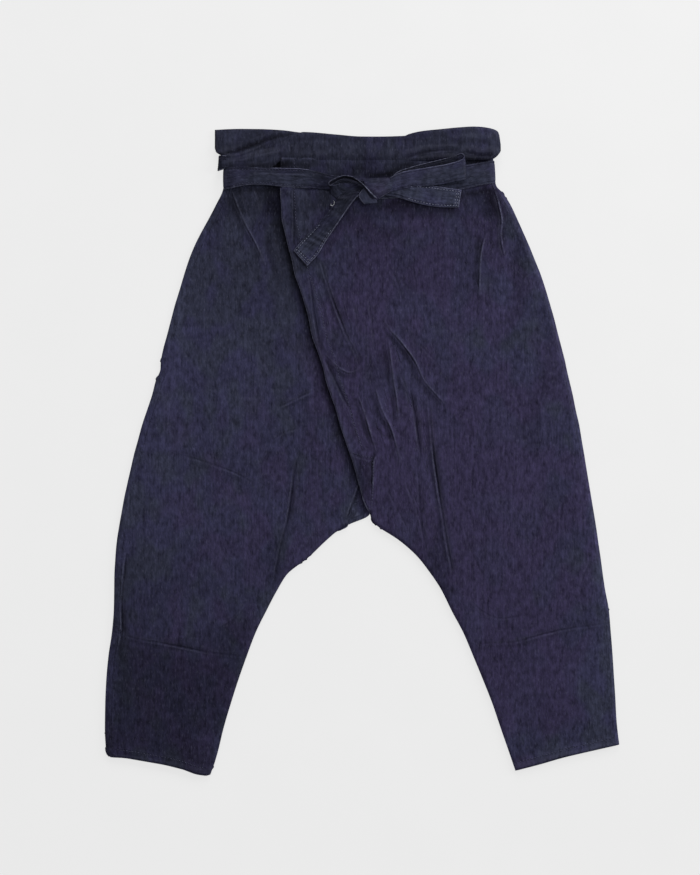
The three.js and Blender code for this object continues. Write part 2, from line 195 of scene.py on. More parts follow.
# ---------------------------------------------------------------- outline
# Level sections of the body, waist seam to crotch: right side fold, wrap edge, hidden edge of
# the lower front, centre back seam, left side fold. Then the outer and inner edge of each leg.
BODY = table(
    "y right wrap under centre left",
    [409.5, -191, -114, 118, -1, 183],
    [392, -191, -114, 118, -1, 183],
    [370, -193, -114, 116, 0, 187.6],
    [362, -195, -114, 115, 0, 195.2],
    [346, -203, -113, 111, 0, 206.2],
    [325, -214, -112, 106, 1, 216.5],
    [305, -225, -107.5, 100, 1, 225.5],
    [288, -233.5, -103.5, 96, 2, 233],
    [267, -242, -98, 90, 2, 241.5],
    [247, -248.5, -94, 84, 3, 249.5],
    [225, -255, -86, 75, 4, 256.8],
    [204, -261.5, -79.5, 68, 4, 263],
    [183, -267, -74, 60, 5, 269],
    [162, -272.5, -70, 52, 5, 274.2],
    [141, -278.2, -62.6, 45, 6, 279.7],
    [124, -281.3, -56.6, 40, 6, 284],
    [114, -281.8, -53.5, 36, 6, 286],
    [99, -288, -50.4, 32, 7, 289.5],
    [78, -293.5, -43.5, 25, 7, 294.5],
    [57, -300.5, -36, 19, 8, 298.7],
    [36, -307.5, -30.4, 13, 8, 303.5],
    [15, -313.2, -23.4, 8, 8, 307],
    [-4, -318.5, -16.8, 3, 9, 310.3],
    [-27, -323.8, -9.5, 0, 10, 314],
    [-48, -328.6, -4, -3.5, 10, 317.5],
    [-66, -332.5, 2, -9.4, 10, 320.5],
    [-87, -336.3, 11, -18.5, 11, 324],
)
LEG_RIGHT = table(
    "outX outY inX inY",
    [-340, -108, -20.5, -103.5],
    [-342.5, -124, -37, -113.5],
    [-344, -138, -52, -126.5],
    [-345.3, -157, -78, -151],
    [-346, -168, -97, -165],
    [-346.3, -178, -105, -172],
    [-346.5, -196, -119.5, -195],
    [-347, -222, -135.5, -225.5],
    [-349.5, -253, -149.5, -254],
    [-354.5, -287, -162, -287],
    [-357.5, -320, -174, -321],
    [-359, -353, -184.5, -354],
    [-359.5, -388, -194.5, -388],
    [-358.5, -411, -202.5, -421],
    [-357, -422, -207.5, -438],
    [-352, -428.6, -213, -453],
)
LEG_LEFT = table(
    "outX outY inX inY",
    [326, -99, 15.2, -99],
    [328, -112, 23, -106],
    [330.5, -130, 52, -125],
    [333.5, -150, 77, -147],
    [336, -169, 94.5, -169],
    [339.5, -193, 110, -192],
    [345, -223, 127, -226],
    [347.5, -252, 142, -254],
    [350, -283, 156, -287],
    [352, -314, 170, -321],
    [354, -345, 183, -354],
    [355.5, -374, 194.5, -388],
    [357.5, -395, 206, -421],
    [359.5, -411, 215, -447.5],
)
LEG = {"right": LEG_RIGHT, "left": LEG_LEFT}
# A pixel is as wide as 1.4 mm: an edge on the right of the cloth ends at its last pixel's far side.
BODY["left"] += 1.0
LEG_LEFT["outX"] += 1.0
LEG_RIGHT["inX"] += 1.2
INSEAM_TOP = [11.0, -87.0]
# How far a hem lies above a straight line, by share from the side fold to the inseam.
HEM_BOW = {
    "right": table(
        "share rise", [0, 0], [0.19, 2.6], [0.49, 2.6], [0.71, 0.8], [0.88, -3], [0.95, -2.6], [1, 0]
    ),
    "left": table("share rise", [0, 0], [0.22, 0.8], [0.52, 1.6], [0.79, 0.3], [1, 0]),
}
HEM_DEPTH = 13.0
HEM_BEND = 60.0  # how far above the hem the weave begins to follow its bow


def leg_line(side, edge):
    """The outer or inner edge of a leg, which edge calls out or in, down to the hem."""
    return np.stack([LEG[side][edge + "X"], LEG[side][edge + "Y"]], 1)


def down_line(body_x, side, edge):
    """A line down one half, through the body's sections and on along an edge of the leg."""
    return np.vstack([np.stack([body_x, BODY["y"]], 1), leg_line(side, edge)])


def hem_rise(side, share):
    """How far the hem lies above a straight line."""
    return curve(HEM_BOW[side]["share"], HEM_BOW[side]["rise"], share)


def hem_line(side):
    """The bowed hem, side fold to inseam."""
    start, end = leg_line(side, "out")[-1], leg_line(side, "in")[-1]
    share = np.linspace(0, 1, 25)
    line = start + (end - start) * share[:, None]
    line[:, 1] += hem_rise(side, share)
    return line


FOLD = {side: smooth_line(down_line(BODY[side], side, "out"), 8) for side in LEG}
INSEAM = {side: smooth_line(np.vstack([INSEAM_TOP, leg_line(side, "in")]), 8) for side in LEG}
HEM = {side: hem_line(side) for side in LEG}
WRAP_EDGE = smooth_line(np.stack([BODY["wrap"], BODY["y"]], 1), 6)
OPEN_WRAP_EDGE = WRAP_EDGE[WRAP_EDGE[:, 1] < 370]  # the part below the middle of the ties

# where stitches run and seams show
WRAP_TURN = 19.5  # how far the wrap's edge is turned in
OUTSEAM_IN = {"right": 9.0, "left": -6.0}  # to the left of the fold's direction, or right (-)
HEM_STITCH = {
    "right": offset_line(HEM["right"], HEM_DEPTH - 2)[1:-1],
    "left": offset_line(HEM["left"], -(HEM_DEPTH - 2))[1:-1],
}
WRAP_STITCH = offset_line(WRAP_EDGE[WRAP_EDGE[:, 1] > -2], WRAP_TURN)
OUTSEAM = {side: offset_line(FOLD[side], OUTSEAM_IN[side]) for side in LEG}
GUSSET_SEAM = plan([(351, 454), (361, 457), (371.4, 459), (371.5, 476), (371.3, 492), (369.8, 509)])

# ---------------------------------------------------------------- creases
# Each crease: its points in pixels of the picture, the half width and height of its ridge
# (a trough is negative), step, how much higher the cloth lies on the left of its direction, and
# how sharp the line pressed into the cloth is (negative where the light line is on its left).
# A pressed line is painted: a dark line of painted shade, a painted highlight beside it, and
# painted shade on its other side.
CREASES = [
    # right hip, under the tie
    ([(231, 192), (236, 206), (245, 226), (255, 245), (263, 264)], 3.2, 1.2, 0.9, -1.3),
    ([(227, 196), (230, 212), (232, 232), (231, 256)], 6, 0.6, 0.0, 0.0),
    ([(243, 190), (246, 204), (252, 222)], 5, 0.6, -0.4, 0.5),
    ([(256, 188), (259, 200), (262, 214)], 5, 0.7, 0.3, 0.4),
    ([(268, 190), (267, 212), (268, 240), (274, 272), (283, 304)], 7, -1.5, 0.0, 0.0),
    # lower wrap side of the right front
    ([(293, 330), (301, 346), (308, 362), (313, 380)], 9, -1.0, 0.0, 0.0),
    ([(278, 407), (291, 401), (303, 395), (313, 391)], 3.5, 1.0, 0.6, 1.0),
    ([(272, 440), (284, 432), (298, 428)], 5, 0.5, 0.3, 0.5),
    ([(316, 404), (318, 420), (314, 438), (304, 452)], 6, -0.8, 0.3, 0.3),
    ([(308, 445), (300, 455), (295, 470), (292.5, 488), (288, 519), (283, 538), (279, 555),
      (274, 585)], 3.4, -1.0, 0.9, 1.1),
    ([(182, 455), (196, 459), (215, 465), (236, 473), (255, 484)], 5, 0.6, 0.5, 0.7),
    ([(175, 378), (196, 374), (216, 371), (236, 373)], 7, 0.5, 0.3, 0.0),
    ([(208, 352), (232, 362), (252, 378), (262, 396)], 9, 0.5, 0.2, 0.0),
    # the turned edge's inner line, and the pleat beside it from the tail of the bow
    ([(293.6, 190), (294.2, 206), (294.4, 224), (293.8, 246)], 1.6, -0.5, 0.1, 0.9),
    ([(308, 190), (308.4, 198), (308.2, 206)], 1.6, -0.3, 0.0, 0.5),
    ([(309, 271), (311.5, 290), (315, 318), (319, 340), (323, 354)], 2.4, -0.5, 0.4, 1.0),
    ([(321, 260), (325, 275), (332, 297), (340, 318), (347, 336), (355, 352),
      (360, 364)], 2.6, 1.3, 1.1, 1.7),
    ([(323, 354), (331, 362), (340, 370), (350, 374), (358, 371), (362, 364)], 2.6, 0.9, 0.5, -0.8),
    ([(324, 357), (331, 372), (338, 386), (344, 399), (352, 412)], 3.6, -1.0, 0.6, 1.1),
    ([(357, 397), (361.5, 409), (365.6, 421), (368.6, 432), (372.8, 445),
      (375.6, 455)], 2.4, 1.0, 0.8, -1.5),
    # seams of the gusset, the lower front's edge and the gathers beside it
    ([(352, 454.4), (361, 457), (371.6, 460)], 1.8, -0.5, 0.2, 0.8),
    ([(375.6, 453), (372.4, 460.5), (371.5, 476), (371, 492)], 2.2, -1.0, -0.4, -2.2),
    ([(360, 484), (355, 498), (351, 508), (347.4, 519)], 1.8, -0.4, 0.3, 1.5),
    ([(330, 395), (338, 415), (347, 436), (354, 452)], 7, -1.1, 0.0, 0.0),
    # fan of the left front
    ([(382, 319), (388, 329), (397, 339), (405, 349), (414, 362), (423, 381), (433, 393),
      (443, 404)], 3.8, 1.5, 0.9, -1.5),
    ([(387, 340), (389, 354), (392.5, 381), (395, 396), (398, 424)], 3.4, 1.2, 0.6, -1.3),
    ([(400, 372), (406, 388), (409, 404)], 3.2, 0.8, 0.3, 0.7),
    ([(374, 388), (379, 405), (384.6, 418), (390.4, 430), (395, 446), (400, 464)], 2.8, 1.2, 0.7, -1.4),
    ([(410, 390), (413.6, 408), (416.6, 426), (419, 444), (421.6, 458)], 3.0, -1.2, 0.5, 1.4),
    ([(428.6, 398), (431, 424), (433, 448), (437, 478), (439.4, 495), (442.8, 515), (446.6, 540),
      (453, 573)], 3.6, 1.3, 1.3, 2.2),
    ([(418, 470), (419.6, 496), (421.6, 524), (425, 545)], 3.0, -0.7, 0.3, 0.8),
    ([(398, 300), (407, 322), (420, 344), (436, 362), (447, 384)], 8, 0.7, 0.2, 0.3),
    ([(392, 270), (398, 284), (402, 298)], 4, 0.6, 0.2, 0.6),
    ([(368, 296), (372, 322), (375, 350)], 5, 0.6, 0.2, 0.6),
    ([(352, 300), (357, 318), (360, 338)], 4, 0.6, 0.2, 0.5),
    ([(405, 480), (411, 496), (418, 514), (427, 540)], 5, 0.7, 0.2, 0.7),
    ([(385, 480), (391, 496), (400, 514), (411, 536)], 5, 0.7, 0.2, 0.5),
    ([(470, 378), (492, 386), (516, 384), (536, 372)], 8, 0.5, 0.2, 0.0),
    ([(462, 520), (470, 548), (482, 574)], 6, 0.5, 0.3, 0.4),
    # left hip, under the tie
    ([(489, 181), (492, 188), (495, 197), (498.4, 210), (500.4, 222), (499.2, 232), (500, 242),
      (503, 256)], 2.6, 1.5, -1.2, -2.3),
    ([(485, 232), (481, 246), (478.8, 260), (477.6, 297)], 3.0, 0.9, 0.8, -1.7),
    ([(487, 190), (488, 204), (486, 222)], 5, -1.1, 0.0, 0.0),
    ([(470, 196), (472, 214), (471, 236)], 6, 0.5, 0.2, 0.3),
    ([(440, 212), (446, 232), (448, 254)], 7, 0.5, 0.1, 0.0),
    ([(405, 208), (409, 226), (410, 250)], 8, 0.5, 0.2, 0.3),
    ([(375, 210), (374, 230), (377, 256)], 7, 0.5, -0.2, 0.0),
    ([(345, 226), (350, 246), (352, 268)], 6, 0.6, 0.2, 0.4),
    # across the knees, where the legs were folded
    ([(110, 630), (125, 634.8), (140, 639), (158.7, 642), (182, 646.5), (210, 652),
      (246, 656)], 4.2, 0.5, 0.8, 0.9),
    ([(180, 646), (196, 649), (214, 653), (240, 656)], 3.2, -0.6, 0.0, 0.0),
    ([(476, 643.5), (495, 642.5), (511, 641.8), (528, 638), (544, 633.5), (572, 627.6),
      (614, 622)], 4.2, 0.5, 0.7, 0.8),
    ([(127, 552), (124, 580), (122.3, 604), (122.7, 630), (118, 656)], 2.6, 0.9, 0.5, 2.0),
    ([(150, 690), (170, 700), (196, 704), (214, 700)], 8, 0.4, 0.1, 0.0),
    ([(500, 690), (530, 696), (560, 690), (590, 680)], 9, 0.4, 0.1, 0.0),
    ([(590, 560), (580, 590), (584, 616)], 6, 0.5, 0.2, 0.5),
    ([(470, 600), (484, 612), (500, 618), (520, 616)], 6, 0.5, 0.2, 0.5),
    ([(250, 600), (238, 616), (220, 628)], 6, 0.5, 0.2, 0.4),
]
LINE_REACH = 9.0  # a pressed line's painted shade and highlight reach no farther than this


def crease_height(p, creases):
    """Ridges and steps of the creases at points p."""
    total = np.zeros(len(p))
    for points, half, height, step, _ in creases:
        near, dist, side, along, fade = near_line(p, points, 6 * half + 6, 5)
        uneven = 0.75 + 0.25 * np.cos(along * 9 + half)
        signed = dist * side / half
        shelf = step * np.tanh(signed) * np.exp(-np.abs(signed) / 3.0)
        total[near] += (height * bell(dist, half) + shelf) * fade * uneven
    return total


def crease_lines(p, creases):
    """Signed distance to the nearest pressed line, and how strong it is, for its painted shade and highlight.
    """
    signed, strength = np.full(len(p), 2 * LINE_REACH), np.zeros(len(p))
    for points, _, _, _, sharp in creases:
        if sharp == 0:
            continue
        near, dist, side, along, fade = near_line(p, points, 2 * LINE_REACH, 3)
        uneven = 0.7 + 0.3 * np.cos(along * 11 + len(points))
        closer = dist < np.abs(signed[near])
        signed[near] = np.where(closer, -dist * side * np.sign(sharp), signed[near])
        strength[near] = np.where(closer, abs(sharp) * fade * uneven, strength[near])
    return signed, strength


def waves(p, count, lengths, stretch, seed):
    """Smooth uneven swell from a sum of waves, stretched along Y, about 1 high."""
    rng = np.random.default_rng(seed)
    total = np.zeros(len(p))
    for _ in range(count):
        length = rng.uniform(*lengths)
        turn = rng.uniform(-0.7, 0.7)
        k = 2 * math.pi / length
        phase = rng.uniform(0, 2 * math.pi)
        total += np.sin(k * (p[:, 0] * math.cos(turn) + p[:, 1] * math.sin(turn) / stretch) + phase)
    return total / math.sqrt(count)


# ---------------------------------------------------------------- dye
# Patches of lighter (+) and darker colour: place and half sizes in pixels, change. The broad
# ones are uneven colour of the cloth; most dark ones round the tie, the bow, the waistband and
# the gusset are painted shade in hollows and under parts.
TONE_AND_SHADE_PATCHES = [
    # broad patches of lightness, with painted shade in some hollows and beside the wrap
    (412, 240, 112, 56, -0.2), (250, 280, 60, 60, -0.11), (150, 440, 46, 90, 0.14),
    (205, 372, 60, 60, 0.07), (177, 294, 12, 58, 0.32), (107, 668, 9, 46, 0.45),
    (176, 590, 30, 10, -0.14), (358, 362, 26, 16, -0.16), (380, 372, 10, 16, -0.2),
    (310, 350, 8, 22, 0.16), (522, 352, 10, 22, 0.14), (535, 425, 12, 30, -0.18),
    (530, 380, 8, 10, 0.12), (504, 280, 8, 30, 0.16), (362, 496, 6, 10, -0.3), (220, 395, 22, 18, 0.1),
    (275, 315, 12, 18, 0.12), (300, 260, 12, 26, -0.16), (445, 580, 8, 20, -0.16),
    (125, 505, 12, 14, 0.12), (168, 468, 14, 14, 0.1), (508, 636, 20, 12, -0.12),
    (580, 749, 40, 8, 0.25), (208, 746, 12, 14, 0.28), (507, 738, 8, 24, 0.28),
    (289, 374, 14, 16, 0.12), (550, 414, 12, 18, 0.14), (402, 522, 14, 10, 0.14),
    (549, 330, 7, 48, -0.18), (230, 520, 60, 40, 0.06), (602, 610, 22, 100, 0.16),
    (600, 712, 9, 36, 0.2), (145, 604, 28, 20, -0.10), (234, 636, 24, 24, -0.22),
    (192, 626, 10, 18, 0.14), (276, 560, 10, 24, -0.26), (545, 388, 14, 30, -0.16),
    (478, 374, 20, 12, -0.10), (386, 424, 7, 28, 0.28), (366, 440, 8, 12, 0.12), (345, 428, 4, 14, 0.2),
    (306, 420, 7, 26, -0.2), (438, 556, 9, 34, -0.26), (422, 545, 12, 14, -0.1),
    # round the tie and the bow: mostly painted shade under and beside them
    (236, 202, 15, 13, -0.55), (215, 218, 10, 22, -0.2), (257, 234, 9, 26, -0.2),
    (268, 200, 11, 15, -0.62), (286, 194, 7, 4, -0.35), (282, 215, 6, 30, 0.2), (252, 246, 8, 12, 0.15),
    (265, 232, 6, 20, -0.15), (276, 250, 9, 46, -0.2), (288, 222, 7, 30, -0.16),
    (322, 199, 20, 12, -0.42), (352, 216, 20, 13, -0.32), (375, 232, 14, 10, -0.24),
    (345, 171, 34, 6, -0.35), (386, 176, 12, 6, -0.45), (395, 205, 22, 7, -0.5),
    (425, 213, 26, 6, -0.3), (416, 240, 10, 12, 0.14), (490, 197, 12, 10, -0.45),
    (470, 200, 10, 16, -0.16), (490, 208, 9, 22, -0.15), (519, 268, 8, 60, -0.3),
    # waistband: painted shade in the gaps under and over it, and lighter patches on it
    (290, 166, 20, 5, -0.6), (283, 165, 6, 5, -0.25), (444, 154, 12, 5, -0.3),
    (365, 165, 12, 12, -0.36), (312, 164, 14, 5, -0.3), (406, 166, 18, 5, -0.6),
    (440, 158.5, 24, 3.6, -0.45), (480, 158, 24, 6, -0.55), (244, 147, 32, 4, -0.4),
    (266, 159, 14, 4, 0.2), (225, 140, 16, 10, 0.36), (482, 136, 18, 8, 0.25), (306, 137, 10, 6, 0.2),
    # gusset: painted shade in its hollow
    (361, 474, 11, 20, -0.44),
]
# Patches of more purple (+) or less, in the same way.
PURPLES = [
    (412, 240, 112, 56, 0.1), (490, 208, 9, 22, 0.2), (361, 474, 11, 20, -0.3),
    (225, 240, 100, 150, -0.95), (360, 152, 190, 28, -0.75), (125, 480, 34, 220, -0.75),
    (180, 670, 60, 90, 0.4), (250, 500, 60, 60, 0.3), (350, 340, 40, 130, 0.6), (420, 270, 90, 66, 0.6),
    (450, 420, 110, 80, 0.55), (480, 560, 120, 130, 0.8), (520, 700, 60, 70, 0.7),
    (388, 485, 26, 50, 0.5), (357, 512, 14, 14, -1.2), (606, 650, 20, 120, -0.8),
    (560, 745, 70, 14, -0.7),
]
# Shade that stays in the narrow hollows: points and half width in pixels, and how dark.
SHADES = [
    # under and over the ties and the bow
    ([(225, 193.5), (240, 191.6), (255, 190.4), (270, 190.6), (290, 192.6)], 3.4, 0.6),
    ([(228, 166), (246, 166.4), (262, 166.4), (276, 166)], 2.4, 0.45),
    ([(304, 176), (318, 177), (340, 175.4), (364, 175)], 2.2, 0.55),
    ([(360, 176.5), (376, 176), (390, 173.6), (402, 168)], 3.2, 0.8),
    ([(464, 164.5), (478, 162.4), (492, 160.4)], 2.6, 0.75),
    ([(458, 195), (470, 194), (482, 192), (496, 190)], 4.0, 0.65),
    ([(488, 189), (492, 200), (494, 212), (494, 226)], 3.4, 0.4),
    ([(325, 184), (327, 196), (332, 206)], 5.0, 0.4),
    ([(390, 200), (405, 204), (420, 207.6), (440, 210), (459, 211)], 2.6, 0.5),
    ([(358, 204), (349, 215), (341, 228), (326, 250), (312, 270)], 2.2, 0.3),
    ([(354, 197), (346, 206), (338, 216)], 3.2, 0.35),
    # beside the turned edge, and along its inner line
    ([(270, 190), (272, 204), (275, 222), (284, 254)], 4.5, 0.35),
    ([(294, 187), (294, 208), (294, 230), (293.6, 250)], 1.3, 0.5),
    ([(334, 418), (336, 434), (343, 452)], 3.6, 0.3),
    # over the flap's fold and the corner of the wrap
    ([(214, 155.4), (232, 152.6), (246, 148.2), (256.2, 144), (266.4, 140.2), (276.6, 137.4),
      (292, 134.4)], 1.7, 0.85),
    ([(270, 169), (277, 165), (286, 161.6), (300, 160.4)], 1.5, 0.35),
    ([(298, 294), (308, 316), (316, 338), (323, 354)], 3.0, 0.45),
]
KNEE = smooth_line(plan([(90, 628), (158.7, 642), (210, 653), (262, 659)]), 8)


def patches(p, rows):
    """Sum of soft oval patches at points p."""
    total = np.zeros(len(p))
    for x, y, half_x, half_y, change in rows:
        off = (p - plan([(x, y)])[0]) / (half_x * PX, half_y * PX)
        total += change * np.exp(-((off**2).sum(1) ** 1.3))
    return total


def dye_and_painted_shade(p):
    """Lightness of the cloth's colour with painted shade, and its share of purple."""
    tone = 1 + patches(p, TONE_AND_SHADE_PATCHES)
    for points, half, depth in SHADES:
        near, dist, _, _, fade = near_line(p, points, 3 * half * PX, 4)
        tone[near] *= 1 - depth * bell(dist, half * PX) * fade
    # darker on the right shin, below the pressed knee
    below = np.interp(p[:, 0], KNEE[:, 0], KNEE[:, 1]) - p[:, 1]
    tone -= (0.22 * smoothstep(-75, 20, below) + 0.16 * smoothstep(6, 18, below)) * (p[:, 0] < -60)
    return tone, patches(p, PURPLES)


# ---------------------------------------------------------------- heights of the layers
TIE_LIFT = 3.6  # how far the ties behind the waist raise it
TIES_BEHIND = (325, 362, 414, 438)  # Y where that begins, is full, begins to end and has ended
TIES_TIED = (340, 368, 398, 418)  # the same for the tied ties, which press it down
EDGE_TOP = 1.5  # top of the cloth right at a fold
OVER_TOP = 7.2  # tops of the fronts above the surface or the ties behind
UNDER_TOP = 4.8
LEG_TOP = 6.6
CINCHED = 1.4  # how far the tied ties press the fronts down
BAND_RISE = 1.3  # how much higher the fronts stand where they meet the waistband
FOLD_RADIUS = 7.0
HEM_RISE = 0.35  # how much higher the turned hem stands, and how far it drops at its edge
HEM_DROP = 1.2
TURNED_RISE = 0.6  # the same for the turned edge of the wrap
TURNED_DROP = 0.9
RIM_RISE = 1.1  # how far the wrap's open rim stands up
DECK = TIE_LIFT + OVER_TOP - CINCHED + 0.2  # where the tied ties rest
TIE_Z = DECK + TIE  # top of a tie on the fronts
BOW_Z = TIE_Z + 0.3 + TIE  # top of a bow strip on a tie


def lift(y):
    """How far the ties behind the waist raise what lies on them."""
    return TIE_LIFT * plateau(TIES_BEHIND, y)


def cinch(y):
    """1 under the tied ties, 0 away from them."""
    return plateau(TIES_TIED, y)


def fold_share(dist):
    """0 at a folded edge, 1 well inside: a round fold, then a slow swell."""
    return 0.84 * quarter_round(dist / FOLD_RADIUS) + 0.16 * (1 - np.exp(-dist / 26))


def relief(p):
    """Height of the creases and the soft swell of the cloth."""
    swell = 0.6 * waves(p, 14, (70, 190), 1.4, 3)
    drapes = 0.12 * waves(p, 16, (16, 44), 3.0, 5)
    return swell + drapes + crease_height(p, CREASES)


def wrap_rise(p, upper):
    """How a front stands up or sinks by the wrap's edge."""
    y = p[:, 1]
    dist = nearest(p, WRAP_EDGE)[0]
    loose = (1 - cinch(y)) * smoothstep(-60, 0, y)
    if upper:
        turned = TURNED_RISE * (1 - smoothstep(WRAP_TURN - 0.5, WRAP_TURN + 2, dist)) * smoothstep(-20, 10, y)
        rim = RIM_RISE * bell(dist - 3, 4.5) * loose
        return turned + rim - TURNED_DROP * (1 - smoothstep(0, 1.6, dist))
    # the lower front sinks beside the wrap's edge, deepest under the tie
    return -bell(dist, 13) * (0.5 + 1.2 * smoothstep(200, 345, y)) * loose


def front_top(p, side, upper):
    """Top of a front at points p. upper says that it is the wrapped front."""
    y = p[:, 1]
    inside = closest(p, [FOLD[side], INSEAM[side]])
    at_hem = nearest(p, HEM[side])[0]
    top = LEG_TOP + ((OVER_TOP if upper else UNDER_TOP) - LEG_TOP) * smoothstep(-150, -60, y)
    top = top + BAND_RISE * smoothstep(388, 405, y)
    z = EDGE_TOP + (top - CINCHED * cinch(y) - EDGE_TOP) * fold_share(inside)
    free = (1 - cinch(y)) * smoothstep(0, 16, inside)
    z = z + relief(p) * free * smoothstep(0, 40, at_hem + 12)
    z = z + HEM_RISE * (1 - smoothstep(HEM_DEPTH - 1, HEM_DEPTH + 1.5, at_hem))
    z = z - HEM_DROP * (1 - smoothstep(0, 3, at_hem))
    return lift(y) + z + wrap_rise(p, upper)


# ---------------------------------------------------------------- meshes
def make_mesh(name, verts, faces, material):
    """A smooth object from points in mm and faces that all have as many corners."""
    mesh = bpy.data.meshes.new(name)
    faces = np.asarray(faces)
    mesh.vertices.add(len(verts))
    mesh.vertices.foreach_set("co", (np.asarray(verts) * MM).ravel().astype(np.float32))
    mesh.loops.add(faces.size)
    mesh.loops.foreach_set("vertex_index", faces.ravel().astype(np.int32))
    mesh.polygons.add(len(faces))
    starts = np.arange(0, faces.size, faces.shape[1], dtype=np.int32)
    mesh.polygons.foreach_set("loop_start", starts)
    mesh.update(calc_edges=True)
    mesh.validate()
    mesh.shade_smooth()
    mesh.materials.append(material)
    obj = bpy.data.objects.new(name, mesh)
    bpy.context.scene.collection.objects.link(obj)
    return obj


def surface_normals(grid):
    """Unit normals of a grid, up on the whole, and whether its faces have to be turned for that."""
    normal = unit(np.cross(np.gradient(grid, axis=1), np.gradient(grid, axis=0)))
    turned = normal[..., 2].mean() < 0
    return (-normal if turned else normal), turned


def shell(name, grid, marks, cloth, folds, wall, material):
    """A closed thin shell under a grid of points (rows, columns, xyz in mm).

    marks holds the distance to a seam, the distance to an edge and how far the cloth stands up;
    cloth the place across and along the weave and the share of purple; folds the signed distance
    to a pressed line, its strength and the lightness of the colour, with painted shade and light.
    """
    rows, cols, _ = grid.shape
    normal, turned = surface_normals(grid)
    under = grid - normal * wall
    under[..., 2] = np.maximum(under[..., 2], 0.02)
    n = rows * cols
    index = np.arange(n).reshape(rows, cols)
    a, b, c, d = index[:-1, :-1], index[:-1, 1:], index[1:, 1:], index[1:, :-1]
    top = np.stack([a, b, c, d], -1).reshape(-1, 4)
    base = np.stack([a, d, c, b], -1).reshape(-1, 4) + n
    ring = np.concatenate([index[0, :], index[1:, -1], index[-1, -2::-1], index[-2:0:-1, 0]])
    after = np.roll(ring, -1)
    faces = np.concatenate([top, base, np.stack([after, ring, ring + n, after + n], -1)])
    if turned:
        faces = faces[:, ::-1]
    verts = np.concatenate([grid.reshape(-1, 3), under.reshape(-1, 3)])
    obj = make_mesh(name, verts, faces, material)
    for layer, values in (("marks", marks), ("cloth", cloth), ("folds", folds)):
        both = np.concatenate([values.reshape(-1, 3)] * 2).astype(np.float32)
        vectors = obj.data.attributes.new(layer, "FLOAT_VECTOR", "POINT")
        vectors.data.foreach_set("vector", both.ravel())
    return obj


def hollows(grid):
    """Lighter ridges (+), worn and with painted highlight, and painted shade in hollows (-), from how the
    cloth curves.
    """
    z = grid[..., 2]
    pad = np.pad(z, 2, mode="edge")
    rows, cols = z.shape
    around = sum(pad[2 + i : 2 + i + rows, 2 + j : 2 + j + cols] for i in (-2, 0, 2) for j in (-2, 0, 2))
    return np.clip((z - around / 9) * 2.4, -1, 1)


def with_height(xy, z):
    """A plan grid with heights given in one row."""
    return np.concatenate([xy, z.reshape(*xy.shape[:2], 1)], 2)


# ---------------------------------------------------------------- materials
class Nodes:
    """A new material, with short names for adding and joining its shader nodes."""

    def __init__(self, name):
        self.material = bpy.data.materials.new(name)
        self.material.use_nodes = True
        self.tree = self.material.node_tree
        self.tree.nodes.clear()

    def put(self, node, key, value):
        """Set an input, given by its name or number, to a value or join it to an output."""
        socket = node.inputs[int(key) if key.isdigit() else key]
        if isinstance(value, bpy.types.NodeSocket):
            self.tree.links.new(value, socket)
        else:
            socket.default_value = value

    def add(self, kind, settings=None, **inputs):
        """A new node. An input given by its number is written _0, and _ stands for a space."""
        node = self.tree.nodes.new(kind)
        for key, value in (settings or {}).items():
            setattr(node, key, value)
        for key, value in inputs.items():
            self.put(node, key.strip("_").replace("_", " "), value)
        return node

    def math(self, operation, a, b=0.0):
        return self.add("ShaderNodeMath", {"operation": operation}, _0=a, _1=b).outputs[0]

    def times(self, value, *more):
        for other in more:
            value = self.math("MULTIPLY", value, other)
        return value

    def plus(self, value, *more):
        for other in more:
            value = self.math("ADD", value, other)
        return value

    def ramp(self, value, low, high, to_low=0.0, to_high=1.0):
        """A smooth ramp from to_low at low to to_high at high."""
        smooth = {"interpolation_type": "SMOOTHSTEP"}
        node = self.add("ShaderNodeMapRange", smooth, _0=value, _1=low, _2=high, _3=to_low, _4=to_high)
        return node.outputs[0]

    def mix(self, share, a, b, blend="MIX"):
        kind = {"data_type": "RGBA", "blend_type": blend}
        return self.add("ShaderNodeMix", kind, _0=share, _6=a, _7=b).outputs[2]

    def noise(self, vector, scale, detail, roughness=0.5, shift=(0.0, 0.0, 0.0)):
        """Soft noise with scale features a unit along each axis."""
        place = self.add("ShaderNodeMapping", Vector=vector, Scale=(*scale, 0.0)[:3], Location=shift)
        look = {"Vector": place.outputs[0], "Scale": 1.0, "Detail": detail, "Roughness": roughness}
        return self.add("ShaderNodeTexNoise", **look).outputs["Fac"]

    def attribute(self, name):
        return self.add("ShaderNodeAttribute", {"attribute_name": name}).outputs["Vector"]

    def parts(self, vector):
        """The three numbers in a vector."""
        return self.add("ShaderNodeSeparateXYZ", Vector=vector).outputs[:3]

    def grey(self, value):
        return self.add("ShaderNodeCombineColor", Red=value, Green=value, Blue=value).outputs[0]

    def surface(self, colour, roughness, specular):
        """The one shader of the material."""
        look = {"Base_Color": colour, "Roughness": roughness, "Specular_IOR_Level": specular}
        shader = self.add("ShaderNodeBsdfPrincipled", **look)
        self.add("ShaderNodeOutputMaterial", Surface=shader.outputs[0])
        return shader


